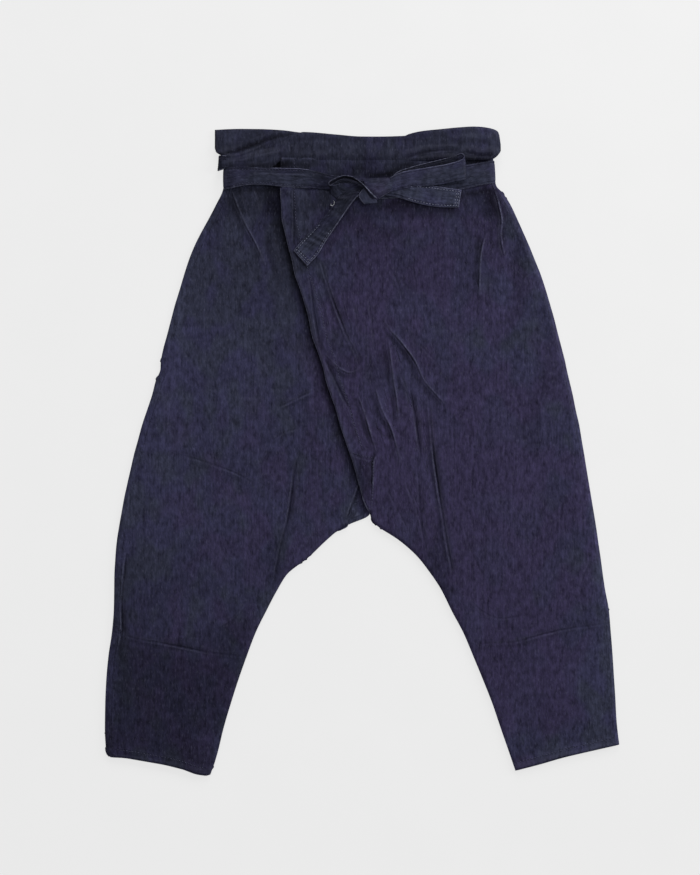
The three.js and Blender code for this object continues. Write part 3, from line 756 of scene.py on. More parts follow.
WEAVE = (
    # features a millimetre across and along, detail, weight
    (0.56, 0.26, 1.0, 0.32),
    (0.28, 0.115, 2.0, 1.38),
    (0.12, 0.064, 2.0, 1.33),
    (0.36, 0.018, 2.0, 0.7),
)
PALE_WEFT = (0.110, 0.115, 0.165, 1)
RIDGE_WEAR_AND_HIGHLIGHT = (0.085, 0.088, 0.130, 1)
PAINTED_HOLLOW_SHADE = (0.005, 0.005, 0.010, 1)
PAINTED_CREASE_HIGHLIGHT = (0.105, 0.110, 0.165, 1)
PAINTED_CREASE_SHADE = (0.004, 0.004, 0.009, 1)
PAINTED_SHADE_BESIDE_CREASE = (0.006, 0.006, 0.011, 1)
WORN_EDGE_AND_HIGHLIGHT = (0.120, 0.125, 0.185, 1)
SEAM_DIRT = (0.008, 0.008, 0.015, 1)


def weave_noise(n, cloth, shift):
    """Yarns, short slubs, mottling and long faint streaks."""
    layers = []
    for across, along, detail, weight in WEAVE:
        noise = n.noise(cloth, (across, along), detail, 0.55, shift)
        layers.append(n.times(n.math("SUBTRACT", noise, 0.5), weight))
    return n.plus(*layers)


def indigo(n, cloth, purple, light, shades):
    """Three shades of indigo in soft patches, made light and dark, with pale weft flecks."""
    blue, teal, violet = shades
    hue = n.noise(cloth, (0.024, 0.018), 1.0, 0.4, (5.0, 2.0, 0.0))
    cool = n.noise(cloth, (0.032, 0.022), 1.0, 0.4, (15.0, 22.0, 0.0))
    cool = n.math("SUBTRACT", cool, n.times(purple, 0.16))
    share = n.plus(n.times(n.ramp(hue, 0.40, 0.62), 0.7), n.times(purple, 0.9))
    base = n.mix(n.ramp(share, 0.1, 1.2), n.mix(n.ramp(cool, 0.46, 0.66), blue, teal), violet)
    base = n.mix(1.0, base, n.grey(light), "MULTIPLY")
    fleck = n.ramp(n.noise(cloth, (0.62, 0.17), 0.0, shift=(3.0, 9.0, 0.0)), 0.60, 0.80)
    return n.mix(n.times(fleck, 0.11), base, PALE_WEFT)


def denim(name, shades, edge_wear_and_light=0.5, shift=(0.0, 0.0, 0.0)):
    """Raw indigo denim: slubby yarns, pale weft flecks, twill, pressed lines drawn in painted shade and
    painted highlight, painted shade in hollows, and edges lighter, worn and with painted highlight.
    """
    n = Nodes(name)
    cloth = n.attribute("cloth")
    u, v, purple = n.parts(cloth)
    seam, edge, ridge = n.parts(n.attribute("marks"))
    signed, sharp, tone = n.parts(n.attribute("folds"))
    off_line = n.math("ABSOLUTE", signed)

    weave = weave_noise(n, cloth, shift)
    clouds = n.noise(cloth, (0.013, 0.011), 2.0, shift=shift)
    light = n.plus(weave, 1.0, n.times(n.math("SUBTRACT", clouds, 0.5), 0.35))
    base = indigo(n, cloth, purple, n.times(n.math("MAXIMUM", light, 0.25), tone), shades)

    # ridges lighter, worn and with painted highlight; painted shade in hollows; pressed lines with painted
    # highlight and shade, and painted shade beside them; edges lighter, worn and with painted highlight;
    # seams
    patchy = n.ramp(n.noise(cloth, (0.35, 0.20), 2.0, 0.6), 0.36, 0.64, 0.35, 1.0)
    line = n.times(sharp, patchy)
    dark_line = n.ramp(off_line, 1.9, 0.3)
    light_line = n.ramp(n.math("ABSOLUTE", n.math("SUBTRACT", signed, 2.6)), 1.6, 0.2)
    painted_shade = n.times(n.ramp(signed, -LINE_REACH, -2.0), n.ramp(signed, 1.5, 0.0), sharp, 0.34)
    groove = n.ramp(seam, 1.4, 0.2)
    for share, colour in (
        (n.times(n.ramp(ridge, 0.15, 1.0), 0.10), RIDGE_WEAR_AND_HIGHLIGHT),
        (n.times(n.ramp(ridge, -0.08, -0.8), 0.35), PAINTED_HOLLOW_SHADE),
        (n.times(light_line, line, 0.22), PAINTED_CREASE_HIGHLIGHT),
        (n.math("MINIMUM", painted_shade, 0.7), PAINTED_SHADE_BESIDE_CREASE),
        (n.times(dark_line, line, 0.55), PAINTED_CREASE_SHADE),
        (n.times(n.ramp(edge, 1.7, 0.2), n.times(patchy, edge_wear_and_light)), WORN_EDGE_AND_HIGHLIGHT),
        (n.times(groove, 0.35), SEAM_DIRT),
    ):
        base = n.mix(share, base, colour)

    # relief too fine for the mesh
    twill = n.math("SINE", n.plus(n.times(u, 5.2), n.times(v, 3.6)))
    pucker = n.times(n.noise(cloth, (0.22, 0.22), 1.0), n.ramp(seam, 7.0, 1.0))
    crumple = n.noise(cloth, (0.06, 0.04), 4.0, 0.62)
    height = n.plus(n.times(twill, 0.02), n.times(weave, 0.22), n.times(pucker, 0.7))
    height = n.plus(height, n.times(groove, -0.25), n.times(crumple, 1.5))
    step = n.math("SUBTRACT", n.ramp(signed, -0.5, 2.6), dark_line)
    pressed = n.times(step, n.times(sharp, 0.35), n.ramp(off_line, LINE_REACH, 2.0))
    bump = n.add("ShaderNodeBump", Height=n.plus(height, pressed), Strength=1.0, Distance=0.001)
    n.put(n.surface(base, 0.95, 0.06), "Normal", bump.outputs[0])
    return n.material


def thread_material(name, colour):
    """Cotton thread with a fine twist."""
    n = Nodes(name)
    where = n.add("ShaderNodeTexCoord").outputs["Object"]
    twist = n.noise(where, (2200, 2200, 2200), 1.0)
    base = n.mix(n.ramp(twist, 0.35, 0.7), tuple(0.7 * c for c in colour[:3]) + (1,), colour)
    bump = n.add("ShaderNodeBump", Height=twist, Strength=0.5, Distance=0.0002)
    n.put(n.surface(base, 0.8, 0.2), "Normal", bump.outputs[0])
    return n.material


# ---------------------------------------------------------------- stage
CAMERA_HEIGHT = 5.0
SENSOR = 36.0
FLOOR_GLOW = 0.735
FLOOR_HALF = 30.0
WORLD_LIGHT = 0.38
LIGHTS = (
    # name, place in metres, size in metres, watts
    ("key_right", (2.8, 1.3, 1.35), 1.4, 106.0),
    ("top_back", (0.3, 2.9, 1.5), 1.4, 79.0),
    ("fill_left", (-2.8, -0.8, 2.2), 2.0, 11.0),
)


def floor_material():
    """A pale floor, lit from inside so that it shows as white as a studio's."""
    n = Nodes("pale_floor")
    where = n.add("ShaderNodeTexCoord").outputs["Object"]
    grain = n.ramp(n.noise(where, (9, 9, 9), 3.0), 0.3, 0.7, 0.095, 0.10)
    shader = n.surface(n.grey(grain), 0.9, 0.0)
    n.put(shader, "Emission Color", (1, 1, 1, 1))
    n.put(shader, "Emission Strength", FLOOR_GLOW)
    return n.material


def make_camera():
    """A long lens straight above, framing the picture."""
    data = bpy.data.cameras.new("camera")
    data.sensor_fit = "AUTO"
    data.sensor_width = SENSOR
    data.lens = SENSOR * CAMERA_HEIGHT / (PICTURE[1] * PX * MM)
    data.clip_end = 100.0
    camera = bpy.data.objects.new("camera", data)
    middle = plan([(PICTURE[0] / 2, PICTURE[1] / 2)])[0] * MM
    camera.location = (middle[0], middle[1], CAMERA_HEIGHT)
    bpy.context.scene.collection.objects.link(camera)
    bpy.context.scene.camera = camera


def make_stage():
    """A wide floor just under the garment."""
    half = FLOOR_HALF
    corners = [(-half, -half, 0), (half, -half, 0), (half, half, 0), (-half, half, 0)]
    verts = np.array(corners) / MM - np.array([0, 0, 0.6])
    floor = make_mesh("floor", verts, np.array([(0, 1, 2, 3)]), floor_material())


def make_lights():
    """White surroundings and square lamps that all face the garment."""
    world = bpy.data.worlds.new("studio")
    bpy.context.scene.world = world
    world.use_nodes = True
    background = world.node_tree.nodes["Background"]
    background.inputs[0].default_value = (1.0, 1.0, 1.0, 1)
    background.inputs[1].default_value = WORLD_LIGHT
    for name, place, size, watts in LIGHTS:
        data = bpy.data.lights.new(name, "AREA")
        data.shape = "SQUARE"
        data.size = size
        data.energy = watts
        lamp = bpy.data.objects.new(name, data)
        lamp.location = place
        x, y, z = place
        lamp.rotation_euler = (0, math.atan2(math.hypot(x, y), z), math.atan2(y, x))
        bpy.context.scene.collection.objects.link(lamp)
    bpy.context.scene.view_settings.view_transform = "Standard"


make_camera()
make_lights()
make_stage()

DENIM = denim(
    "raw_denim", ((0.0218, 0.0218, 0.0475, 1), (0.0208, 0.0226, 0.0405, 1), (0.0246, 0.0205, 0.0488, 1))
)
TIE_DENIM = denim(
    "tie_denim", ((0.0206, 0.0214, 0.0440, 1), (0.0200, 0.0222, 0.0385, 1), (0.0228, 0.0208, 0.0415, 1)),
    edge_wear_and_light=0.55, shift=(31.0, 17.0, 0.0),
)
THREAD = thread_material("indigo_thread", (0.046, 0.048, 0.085, 1))
WORN_THREAD = thread_material("worn_thread", (0.15, 0.16, 0.22, 1))
PALE_THREAD = thread_material("pale_thread", (0.34, 0.35, 0.37, 1))

# ---------------------------------------------------------------- panels
EDGE_STEPS = np.array([0, 0.12, 0.5, 1.1, 2.0, 3.2, 4.7, 6.4])  # from a panel's edge, close together
FRONT_STEPS = (2.9, 2.1)  # spacing of the rows and columns
BACK_STEPS = {"right": (2.5, 3.3), "left": (4.0, 5.0)}
BACK_INSET = 2.0  # how far a back ends inside its front
# Folded edges and hems worn lighter with painted light, painted shade beside the wrap's edge, painted light
# round the crotch.
RIM_WEAR_AND_LIGHT = (0.18, 8)  # how much lighter (+) or darker the colour is beside a line, and how far from it
HEM_RUB_AND_LIGHT = (0.3, 11)
WRAP_PAINTED_SHADE = (0.16, 9)
UNDER_WRAP_PAINTED_SHADE = ((0.5, 14), (0.24, 6))
CROTCH_PAINTED_LIGHT = (0.4, 40)
CROTCH = plan([(358, 508)])[0]
CROTCH_SHOWS = (-96, 22)  # Y where the right back shows most, and how far up and down
# The right back where it shows between the fronts at the crotch: gathers running up to the wrap.
CROTCH_GATHERS = [
    ([(345, 520), (351, 509), (357, 497)], 1.0, 0.3, 0.0, 0.7),
    ([(349.6, 523), (356, 511.6), (362, 500)], 1.0, 0.3, 0.0, 0.9),
    ([(355, 521.6), (361, 511), (366, 502)], 1.0, 0.3, 0.0, 0.8),
    ([(361, 519), (366, 510.6), (370, 504)], 1.0, 0.3, 0.0, 0.7),
]


def across_shares(width, spacing):
    """Shares of the way across a panel."""
    margin = EDGE_STEPS[-1]
    count = max(int((width - 2 * margin) / spacing), 4)
    middle = np.linspace(margin, width - margin, count + 1)[1:-1]
    return np.concatenate([EDGE_STEPS, middle, width - EDGE_STEPS[::-1]]) / width


def panel_points(side, inner, row_step, column_step):
    """Plan grid of a panel: rows from the waist to the hem, columns from the side fold inwards."""
    outer_line, inner_line = down_line(BODY[side], side, "out"), down_line(inner, side, "in")
    run = 0.5 * (run_lengths(outer_line) + run_lengths(inner_line))
    s = np.linspace(0, run[-1], int(run[-1] / row_step) + 1)
    start, end = curve_through(run, outer_line, s), curve_through(run, inner_line, s)
    share = across_shares(np.linalg.norm(start - end, axis=1).mean(), column_step)
    grid = start[:, None] + (end - start)[:, None] * share[None, :, None]
    grid[..., 1] += smoothstep(run[-1] - HEM_BEND, run[-1], s)[:, None] * hem_rise(side, share)
    return grid


def weave_and_folds(xy, creases=(), shade=1.0):
    """The cloth and folds attributes of a piece that lies flat with its grain upright."""
    p = xy.reshape(-1, 2)
    tone, purple = dye_and_painted_shade(p)
    signed, strength = crease_lines(p, creases)
    shape = (*xy.shape[:2], 3)
    cloth = np.column_stack([p, purple]).reshape(shape)
    return cloth, np.column_stack([signed, strength, tone * shade]).reshape(shape)


def panel(name, xy, z, seams, edges, creases, shade=1.0):
    """The shell of a flat piece of cloth from its plan grid and heights."""
    p = xy.reshape(-1, 2)
    grid = with_height(xy, z)
    distances = [closest(p, lines).reshape(xy.shape[:2]) for lines in (seams, edges)]
    marks = np.stack([*distances, hollows(grid)], -1)
    return shell(name, grid, marks, *weave_and_folds(xy, creases, shade), CLOTH, DENIM)


def front(side, inner, upper, seams, edges):
    """A front, lighter along every folded edge, worn and with painted light, and with painted shade beside
    the wrap's edge.
    """
    xy = panel_points(side, inner, *FRONT_STEPS)
    p = xy.reshape(-1, 2)
    y = p[:, 1]
    shade = 1 + beside(closest(p, [FOLD[side], INSEAM[side]]), RIM_WEAR_AND_LIGHT) * (1 - cinch(y))
    shade += beside(nearest(p, HEM[side])[0], HEM_RUB_AND_LIGHT)
    off_wrap = nearest(p, WRAP_EDGE)[0]
    if upper:
        painted_shade = beside(off_wrap, WRAP_PAINTED_SHADE) * smoothstep(0, 60, y)
    else:
        painted_shade = sum(beside(off_wrap, look) for look in UNDER_WRAP_PAINTED_SHADE) * smoothstep(-90, -10, y)
    z = front_top(p, side, upper)
    return panel(f"front_{side}_cloth", xy, z, seams, edges, CREASES, shade * (1 - painted_shade))


def back(side):
    """A back, a little inside the front all round except where it shows at the crotch."""
    at_centre = BODY["centre"] + (0.2 if side == "left" else -0.2)
    xy = panel_points(side, at_centre, *BACK_STEPS[side])
    across = xy[:, -1:] - xy[:, :1]
    width = np.linalg.norm(across, axis=2, keepdims=True)
    share = np.linalg.norm(xy - xy[:, :1], axis=2, keepdims=True) / width
    middle, half = CROTCH_SHOWS
    showing = bell(xy[:, -1:, 1:] - middle, half) if side == "right" else 0.0
    xy = xy + across / width * BACK_INSET * (1 - share - share * (1 - 1.5 * showing))
    p = xy.reshape(-1, 2)
    # painted light round the crotch, where the right back lies low between the fronts
    shade = 1 + beside(np.hypot(*(p - CROTCH).T), CROTCH_PAINTED_LIGHT)
    z = lift(p[:, 1]) + CLOTH
    return panel(f"back_{side}_cloth", xy, z, [HEM_STITCH[side]], [HEM[side]], CROTCH_GATHERS, shade)


def gusset():
    """The small piece at the crotch, just under the wrap's seams."""
    free = [(350.6, 453.6), (354, 466), (358.2, 481.4), (362.2, 496.7), (366.3, 507), (368.6, 511)]
    sewn = [(371.6, 458.6), (371.8, 476), (371.6, 492), (370.6, 503), (369.8, 511)]
    free, sewn = smooth_line(plan(free), 2), smooth_line(plan(sewn), 2)
    sewn = straight_through(np.linspace(0, 1, len(sewn)), sewn, np.linspace(0, 1, len(free)))
    xy = free[:, None] + (sewn - free)[:, None] * np.linspace(0, 1, 16)[None, :, None]
    z = front_top(xy.reshape(-1, 2), "left", True) + 0.5
    return panel("crotch_gusset_cloth", xy, z, [GUSSET_SEAM], [free], CREASES)


# ---------------------------------------------------------------- waistbands
# Top edge of the waist, then the edges of each band, in pixels of the picture.
TOP_EDGE = table(
    "x y",
    [214.8, 130], [238, 129], [260, 129.2], [282, 130.3], [307, 132.3], [338, 134.9], [361, 136.7],
    [378, 136.8], [400, 136.3], [405, 136], [408, 134.6], [422, 131.3], [441, 129.3], [460, 127.5],
    [473, 126.8], [481, 127.1], [491, 128.9], [496, 131], [498.6, 134], [499.8, 142], [500.4, 150],
)
OVER_BAND = table(
    "x low high",
    [221.5, 167.2, 156.2], [228.7, 168, 155.3], [237, 168, 152.6], [246, 168.2, 149.7],
    [256.2, 168.2, 145.6], [266.4, 168.3, 141.6], [271, 168, 139.9], [276.6, 164.5, 138.4],
    [281, 161, 137.6], [286.8, 159.6, 136.7], [292, 159.7, 135.4], [297, 160.1, 134.4],
    [303, 160.3, 132.2], [309, 160.4, 132.4], [338, 160.6, 134.9], [361, 160.7, 136.7],
    [378, 160.7, 136.8], [400, 160.7, 136.3], [405, 160.7, 136], [408, 160.7, 134.6],
    [422, 160.7, 131.3], [441, 160.7, 129.3], [460, 160.7, 127.5], [473, 160.7, 126.8],
    [481, 160.8, 127.1], [488, 160.7, 128.1], [493, 159.6, 129.3], [496, 157.6, 130.6],
    [498, 155.4, 132.2], [499.4, 153.6, 136], [500.6, 151.2, 145],
)
# inset is how many millimetres below the waist's top edge the upper edge of a band lies.
FLAP = table(
    "x low inset",
    [214.9, 148.4, 0], [215.4, 151, 0], [217, 153.3, 0], [220, 155.2, 0], [226, 158.6, 0],
    [240, 160.5, 0], [260, 160.5, 0], [282, 160.5, 0], [300, 160.5, 1.2], [338, 160.5, 1.2],
    [361, 160.5, 1.2], [400, 160.5, 1.2], [446, 160.5, 1.2],
)
BACK_BAND = table(
    "x low inset",
    [216, 148, 2], [218, 152, 2], [222, 157, 2], [240, 160.5, 2], [280, 160.5, 2], [340, 160.5, 2],
    [400, 160.5, 2], [440, 160.5, 2], [480, 160, 2], [494, 156, 2], [498, 150, 2],
)
BAND_SHADE = 0.62
BAND_FOLDS = [
    ([(404, 159.5), (413, 156), (421, 153.5), (434, 151.5), (448, 150.5),
      (462, 152)], 4.2, -2.0, 0.5, 0.7),
    ([(404, 137), (405.5, 144), (404.5, 152)], 2.4, -0.6, 0.6, 0.6),
    ([(462, 151.5), (472, 154), (482, 156), (493, 155)], 4.5, -1.8, 0.3, 0.5),
    ([(373.8, 137), (374.2, 145), (373.8, 154)], 1.4, 0.5, 0.2, 0.7),
    ([(350, 139), (352, 148), (350, 157)], 2.4, 0.35, 0.2, 0.3),
    ([(388, 139), (390, 147), (389, 157)], 3.4, 0.4, 0.2, 0.0),
    ([(320, 137), (316, 147), (319, 157)], 3.6, 0.4, 0.2, 0.3),
    ([(300, 142), (297, 149), (300, 156)], 2.6, 0.35, 0.0, 0.4),
    ([(430, 134), (427, 142), (430, 148)], 4.0, 0.5, 0.2, 0.0),
    ([(452, 131), (455, 139), (453, 147)], 3.2, 0.4, 0.2, 0.4),
    ([(470, 131), (475, 139), (478, 148)], 4.4, 0.6, -0.2, 0.0),
    ([(488, 133), (490, 142), (488, 152)], 3.4, 0.6, 0.2, 0.3),
    ([(226, 161), (246, 158), (266, 153), (284, 149)], 4.5, 0.6, 0.2, 0.5),
    ([(240, 166), (256, 163.5), (270, 160)], 3, 0.5, 0.2, 0.4),
]
FLAP_FOLDS = [
    ([(222, 153.5), (232, 152.5), (246, 147.6), (256.2, 143.4), (266.4, 139.4), (276.6, 136),
      (290, 133)], 3.4, -1.4, 0.2, 0.0),
    ([(221, 131), (220, 141), (223, 150)], 3, 0.4, 0.2, 0.3),
    ([(240, 131), (244, 139), (241, 147)], 3.6, 0.4, 0.2, 0.0),
    ([(262, 131), (264, 136), (262, 142)], 3, 0.4, 0.2, 0.4),
    ([(285, 131), (286, 134), (284, 137)], 3, 0.4, 0.2, 0.3),
]
BANDS = {
    "waistband_under": dict(edges=FLAP, deck=2.6, swell=3.6, folds=FLAP_FOLDS, rounded=(True, False)),
    "waistband_back": dict(edges=BACK_BAND, deck=0.0, swell=2.2, steps=(5.0, 8)),
    "waistband_over": dict(
        edges=OVER_BAND, deck=5.0, swell=3.4, puff=3.4, folds=BAND_FOLDS, rounded=(False, True)
    ),
}
PUFFED = (55, 120)  # where a band begins to puff up, and where it is puffed up in full


def band(name, edges, deck, swell, puff=0.0, folds=(), rounded=(True, True), steps=(1.6, 22)):
    """A band standing swell mm off deck in its middle, and puff mm more towards its right end.

    rounded says which of its ends, left and right, are folded over; steps are the spacing of its
    columns and how many rows it has.
    """
    xs, low = px_x(edges["x"]), px_y(edges["low"])
    if "high" in edges:
        high = px_y(edges["high"])
    else:
        high = curve(px_x(TOP_EDGE["x"]), px_y(TOP_EDGE["y"]), xs) - edges["inset"]
    x = np.append(np.arange(xs[0], xs[-1], steps[0]), xs[-1])
    bottom, top = curve(xs, low, x), curve(xs, high, x)
    share = 0.5 - 0.5 * np.cos(np.linspace(0, math.pi, steps[1]))[:, None]
    xy = np.stack(np.broadcast_arrays(x, bottom + (top - bottom) * share), -1)
    p = xy.reshape(-1, 2)
    shape = xy.shape[:2]
    at_low, at_high = (nearest(p, np.stack([x, y], 1))[0].reshape(shape) for y in (bottom, top))
    at_end = np.full(shape, FAR)
    if rounded[0]:
        at_end = np.minimum(at_end, xy[..., 0] - x[0])
    if rounded[1]:
        at_end = np.minimum(at_end, x[-1] - xy[..., 0])
    near_top = np.minimum(at_high, at_end)
    rise = 0.55 * quarter_round(near_top / 4.5) + 0.45 * smoothstep(0, 16, near_top)
    seam_dip = 1 - 0.2 * bell(at_low, 3.0)
    puckers = 0.05 * waves(p, 14, (6, 19), 2.5, 11) + 0.3 * waves(p, 8, (26, 60), 2, 12)
    folded = (crease_height(p, folds) + puckers).reshape(shape)
    inside = smoothstep(0, 6, np.minimum(near_top, at_low))
    bulge = (swell + puff * smoothstep(*PUFFED, xy[..., 0])) * rise * seam_dip
    z = lift(xy[..., 1]) * smoothstep(-2, 10, at_high) + deck + bulge + folded * inside
    grid = with_height(xy, z)
    marks = np.stack([np.full(shape, FAR), 6 * at_high, hollows(grid)], -1)
    return shell(name, grid, marks, *weave_and_folds(xy, folds, BAND_SHADE), BAND_WALL, DENIM)


# ---------------------------------------------------------------- ties and bow
def from_px(rows, base):
    """Strip rows from pixels: ax ay az bx by bz, with heights in mm above base."""
    r = np.array(rows, float)
    a, b = plan(r[:, :2]), plan(r[:, 3:5])
    return np.column_stack([a, r[:, 2] + base, b, r[:, 5] + base])


# The two edges of each strip. The ties run from the knot to where they turn under, the loops out
# and back to the knot, and the tails and the knot's wing away from it.
TIE_LEFT = from_px([
    [372, 196, 0, 368, 182, 0],
    [345, 192, 0, 345, 177.5, 0],
    [331, 190.4, 0, 331, 175.2, 0],
    [319, 189.6, 0, 319, 172.4, 0],
    [306, 188.8, 0, 306, 169.6, 0],
    [293, 188, 0, 293, 168.6, 0],
    [280, 187, 0, 280, 168.4, 0],
    [266, 185.5, 0, 266, 168, 0],
    [252, 185.2, 0, 252, 167.8, 0],
    [241, 186.6, -0.1, 241, 167.7, -0.1],
    [232, 188.6, -0.2, 232, 167.6, -0.2],
    [227, 189.6, -0.9, 227, 167.6, -0.9],
    [224.2, 190.2, -2.6, 224.2, 167.8, -2.6],
    [223.2, 190.2, -5.2, 223.2, 168, -5.2],
    [223.3, 190, -6.8, 223.3, 168.2, -6.8],
    [224.2, 190, -9.1, 224.2, 168.4, -9.1],
    [227, 189.6, -10.0, 227, 168.8, -10.0],
], TIE_Z)
TIE_RIGHT = from_px([
    [368, 200, 0, 372, 181, 0],
    [400, 198.5, 0, 400, 178, 0],
    [420, 196, 0, 420, 174.5, 0],
    [440, 193.2, 0, 440, 170.6, 0],
    [460, 190.2, 0, 460, 166.7, 0],
    [474, 187.2, 0, 474, 164.2, 0],
    [484, 185.2, 0, 484, 162.4, 0],
    [490, 184.2, -0.6, 490, 161.3, -0.6],
    [494, 183.8, -2.4, 493.2, 161, -2.4],
    [495.6, 183.8, -4.8, 494.4, 161.2, -4.8],
    [495.4, 183.8, -5.6, 494.4, 161.6, -5.6],
    [494, 183.8, -7.4, 493.2, 162, -7.4],
    [491, 183.8, -8.4, 490, 162.4, -8.4],
], TIE_Z)
LOOP_RIGHT = from_px([
    [391, 188, 1.0, 391.5, 177.8, 1.2],
    [398, 185.5, 1.0, 397, 172.8, 1.6],
    [410, 183, 0.6, 410, 168.0, 1.4],
    [426, 181.5, 0.4, 426.3, 163.6, 1.0],
    [444, 180.5, 0.4, 443, 159.6, 0.8],
    [456, 180, 0.4, 456, 155.8, 1.4],
    [463, 180.2, 1.6, 461.0, 154.0, 3.2],
    [465.6, 180.2, 3.4, 464.6, 156.4, 5.6],
    [464.6, 180.8, 5.0, 462.6, 159.4, 7.4],
    [456, 182.4, 4.6, 455.5, 162.6, 7.6],
    [444, 184.9, 2.8, 445, 165.4, 6.6],
    [432, 186.6, 1.9, 431.7, 167.6, 6.0],
    [418, 187.8, 1.8, 419, 169.8, 5.4],
    [407, 189.2, 1.8, 408, 171.4, 5.0],
    [398, 191.0, 1.8, 399, 173.8, 4.8],
    [389, 193.0, 1.9, 389.8, 178.4, 4.2],
], BOW_Z)
TAIL_RIGHT = from_px([
    [384, 196, 0, 386, 187, 1.0],
    [396, 197.8, 0, 398, 185.6, 1.2],
    [405.7, 200.6, -0.3, 408, 185.2, 1.3],
    [415.5, 203.4, -1.0, 418, 185.4, 1.3],
    [429.6, 206.6, -1.6, 430, 186.2, 1.0],
    [443, 207.9, -1.8, 445, 188.2, 0.2],
    [458.4, 208.2, -1.2, 461.2, 190.4, 0.2],
], BOW_Z)
TAIL_LEFT = from_px([
    [352, 187, 0.2, 368, 190, 0.4],
    [341, 195, -0.4, 359.4, 195.4, 0.6],
    [334, 203.4, -1.4, 350.2, 206, -0.2],
    [328, 212, -1.0, 342.7, 217, -0.2],
    [317.5, 224.4, -2.8, 332.4, 232, -1.6],
    [309.6, 232.9, -3.3, 325.1, 243, -2.2],
    [300.6, 242.4, -3.4, 318.3, 254.4, -2.6],
    [293.4, 251, -3.2, 307.2, 266.4, -2.8],
], BOW_Z)
LOOP_LEFT = from_px([
    [377.4, 198.6, 3.0, 376.4, 199.4, 5.2],
    [374.4, 195.4, 3.0, 373.2, 196.4, 6.2],
    [370.4, 190.8, 3.0, 369.1, 191.8, 7.0],
    [366.4, 186.6, 3.0, 365.4, 187.4, 7.6],
    [361.0, 183.8, 2.6, 361.6, 183.2, 8.2],
    [355.4, 181.6, 2.0, 356.6, 179.6, 8.6],
    [350.0, 179.8, 1.6, 350.7, 176.9, 8.8],
    [344.6, 179.3, 1.4, 344.4, 176.2, 8.8],
    [339.4, 180.6, 1.4, 338.3, 177.6, 8.4],
    [334.4, 183.2, 1.4, 331.6, 180.2, 7.8],
    [330.6, 186.0, 1.0, 328.2, 183.6, 6.8],
    [329.4, 188.4, 0.2, 329.6, 186.2, 5.4],
    [330.2, 192.6, -1.4, 334.4, 186.0, 3.2],
    [334.4, 198.0, -2.7, 340.0, 184.4, 2.0],
    [342.0, 201.6, -2.7, 347.4, 183.6, 1.8],
    [352.0, 201.4, -2.0, 356.0, 184.6, 1.8],
    [362.0, 198.6, 0.2, 364.0, 188.6, 1.6],
], BOW_Z)
KNOT_WING = from_px([
    [364.2, 188.4, 2.2, 367.0, 187.6, 2.9],
    [360.4, 192.2, 1.8, 369.6, 191.2, 2.9],
    [358.6, 196.6, 1.6, 372.8, 196.2, 2.8],
    [360.8, 201.2, 1.4, 376.0, 200.6, 2.6],
    [364.4, 204.9, 1.2, 377.4, 203.6, 2.2],
], BOW_Z)
KNOT_CORNERS = plan([(361.2, 179.2), (392.4, 177.6), (393.4, 190.8), (375.0, 202.2)])
# The ties behind the waist, in mm of the row frame.
TIE_BACK_UPPER = np.array([
    [-189, 397, TIE_Z - 1.0, -189, 412.5, TIE_Z - 1.0],
    [-194, 393, TIE_Z - 1.9, -193, 413, TIE_Z - 1.9],
    [-199, 391.5, TIE_Z - 4.2, -197, 413.2, TIE_Z - 4.2],
    [-200.6, 391, 6.0, -198.6, 413.2, 6.0],
    [-199.6, 391.4, 4.2, -197.6, 413.2, 4.2],
    [-196, 396.5, 3.3, -195, 413, 3.3],
    [-180, 395, 3.2, -180, 413, 3.2],
    [-100, 387, 3.2, -100, 414, 3.2],
    [0, 383, 3.2, 0, 411, 3.2],
    [100, 379, 3.2, 100, 407, 3.2],
    [178, 376, 3.2, 178, 404, 3.2],
])
TIE_BACK_LOWER = np.array([
    [-187, 367, 1.4, -187, 395, 1.4],
    [-60, 370, 1.4, -60, 398, 1.4],
    [60, 373, 1.4, 60, 401, 1.4],
    [178, 376, 1.4, 178, 404, 1.4],
])

STRIP_SHARES = np.concatenate([[0, 0.015, 0.045], np.linspace(0.09, 0.91, 15), [0.955, 0.985, 1]])
STRIP_STEP = 1.5
STRIP_WAVES = (
    # how many, shortest and longest, how much they are stretched across the strip
    (12, (4, 11), 3.5),
    (8, (18, 50), 1.5),
    (14, (6, 15), 2.6),
)
SEAM_IN = 3.0  # how far in from a strip's edge it is sewn
HEM_SEAMS = (2.4, 6.0)  # the same at a tie's end, twice
HEM_WEAR = 1.4  # how much wider the wear is at a tie's end than along its edges
HEM_END_RISE = 0.4  # how much higher the turned end stands
EDGE_ROUND = (0.7, 1.3)  # how far a strip's edge drops, and over what width
SEAM_DITCH = (0.3, 0.9)  # depth and half width of the ditch along a seam
HEM_DITCH = (0.35, 1.0)  # the same at a tie's end
CRIMP = 0.1  # height of the crimp along the edges, and of the soft swell of a strip
SWELL = 0.25
# where the left tie's edges show lighter, worn and with painted highlight: not where it lies in the left
# loop's shade
LEFT_TIE_SHOWS = [(0, 0), (0.38, 0), (0.42, 0.9), (1, 0.9)]
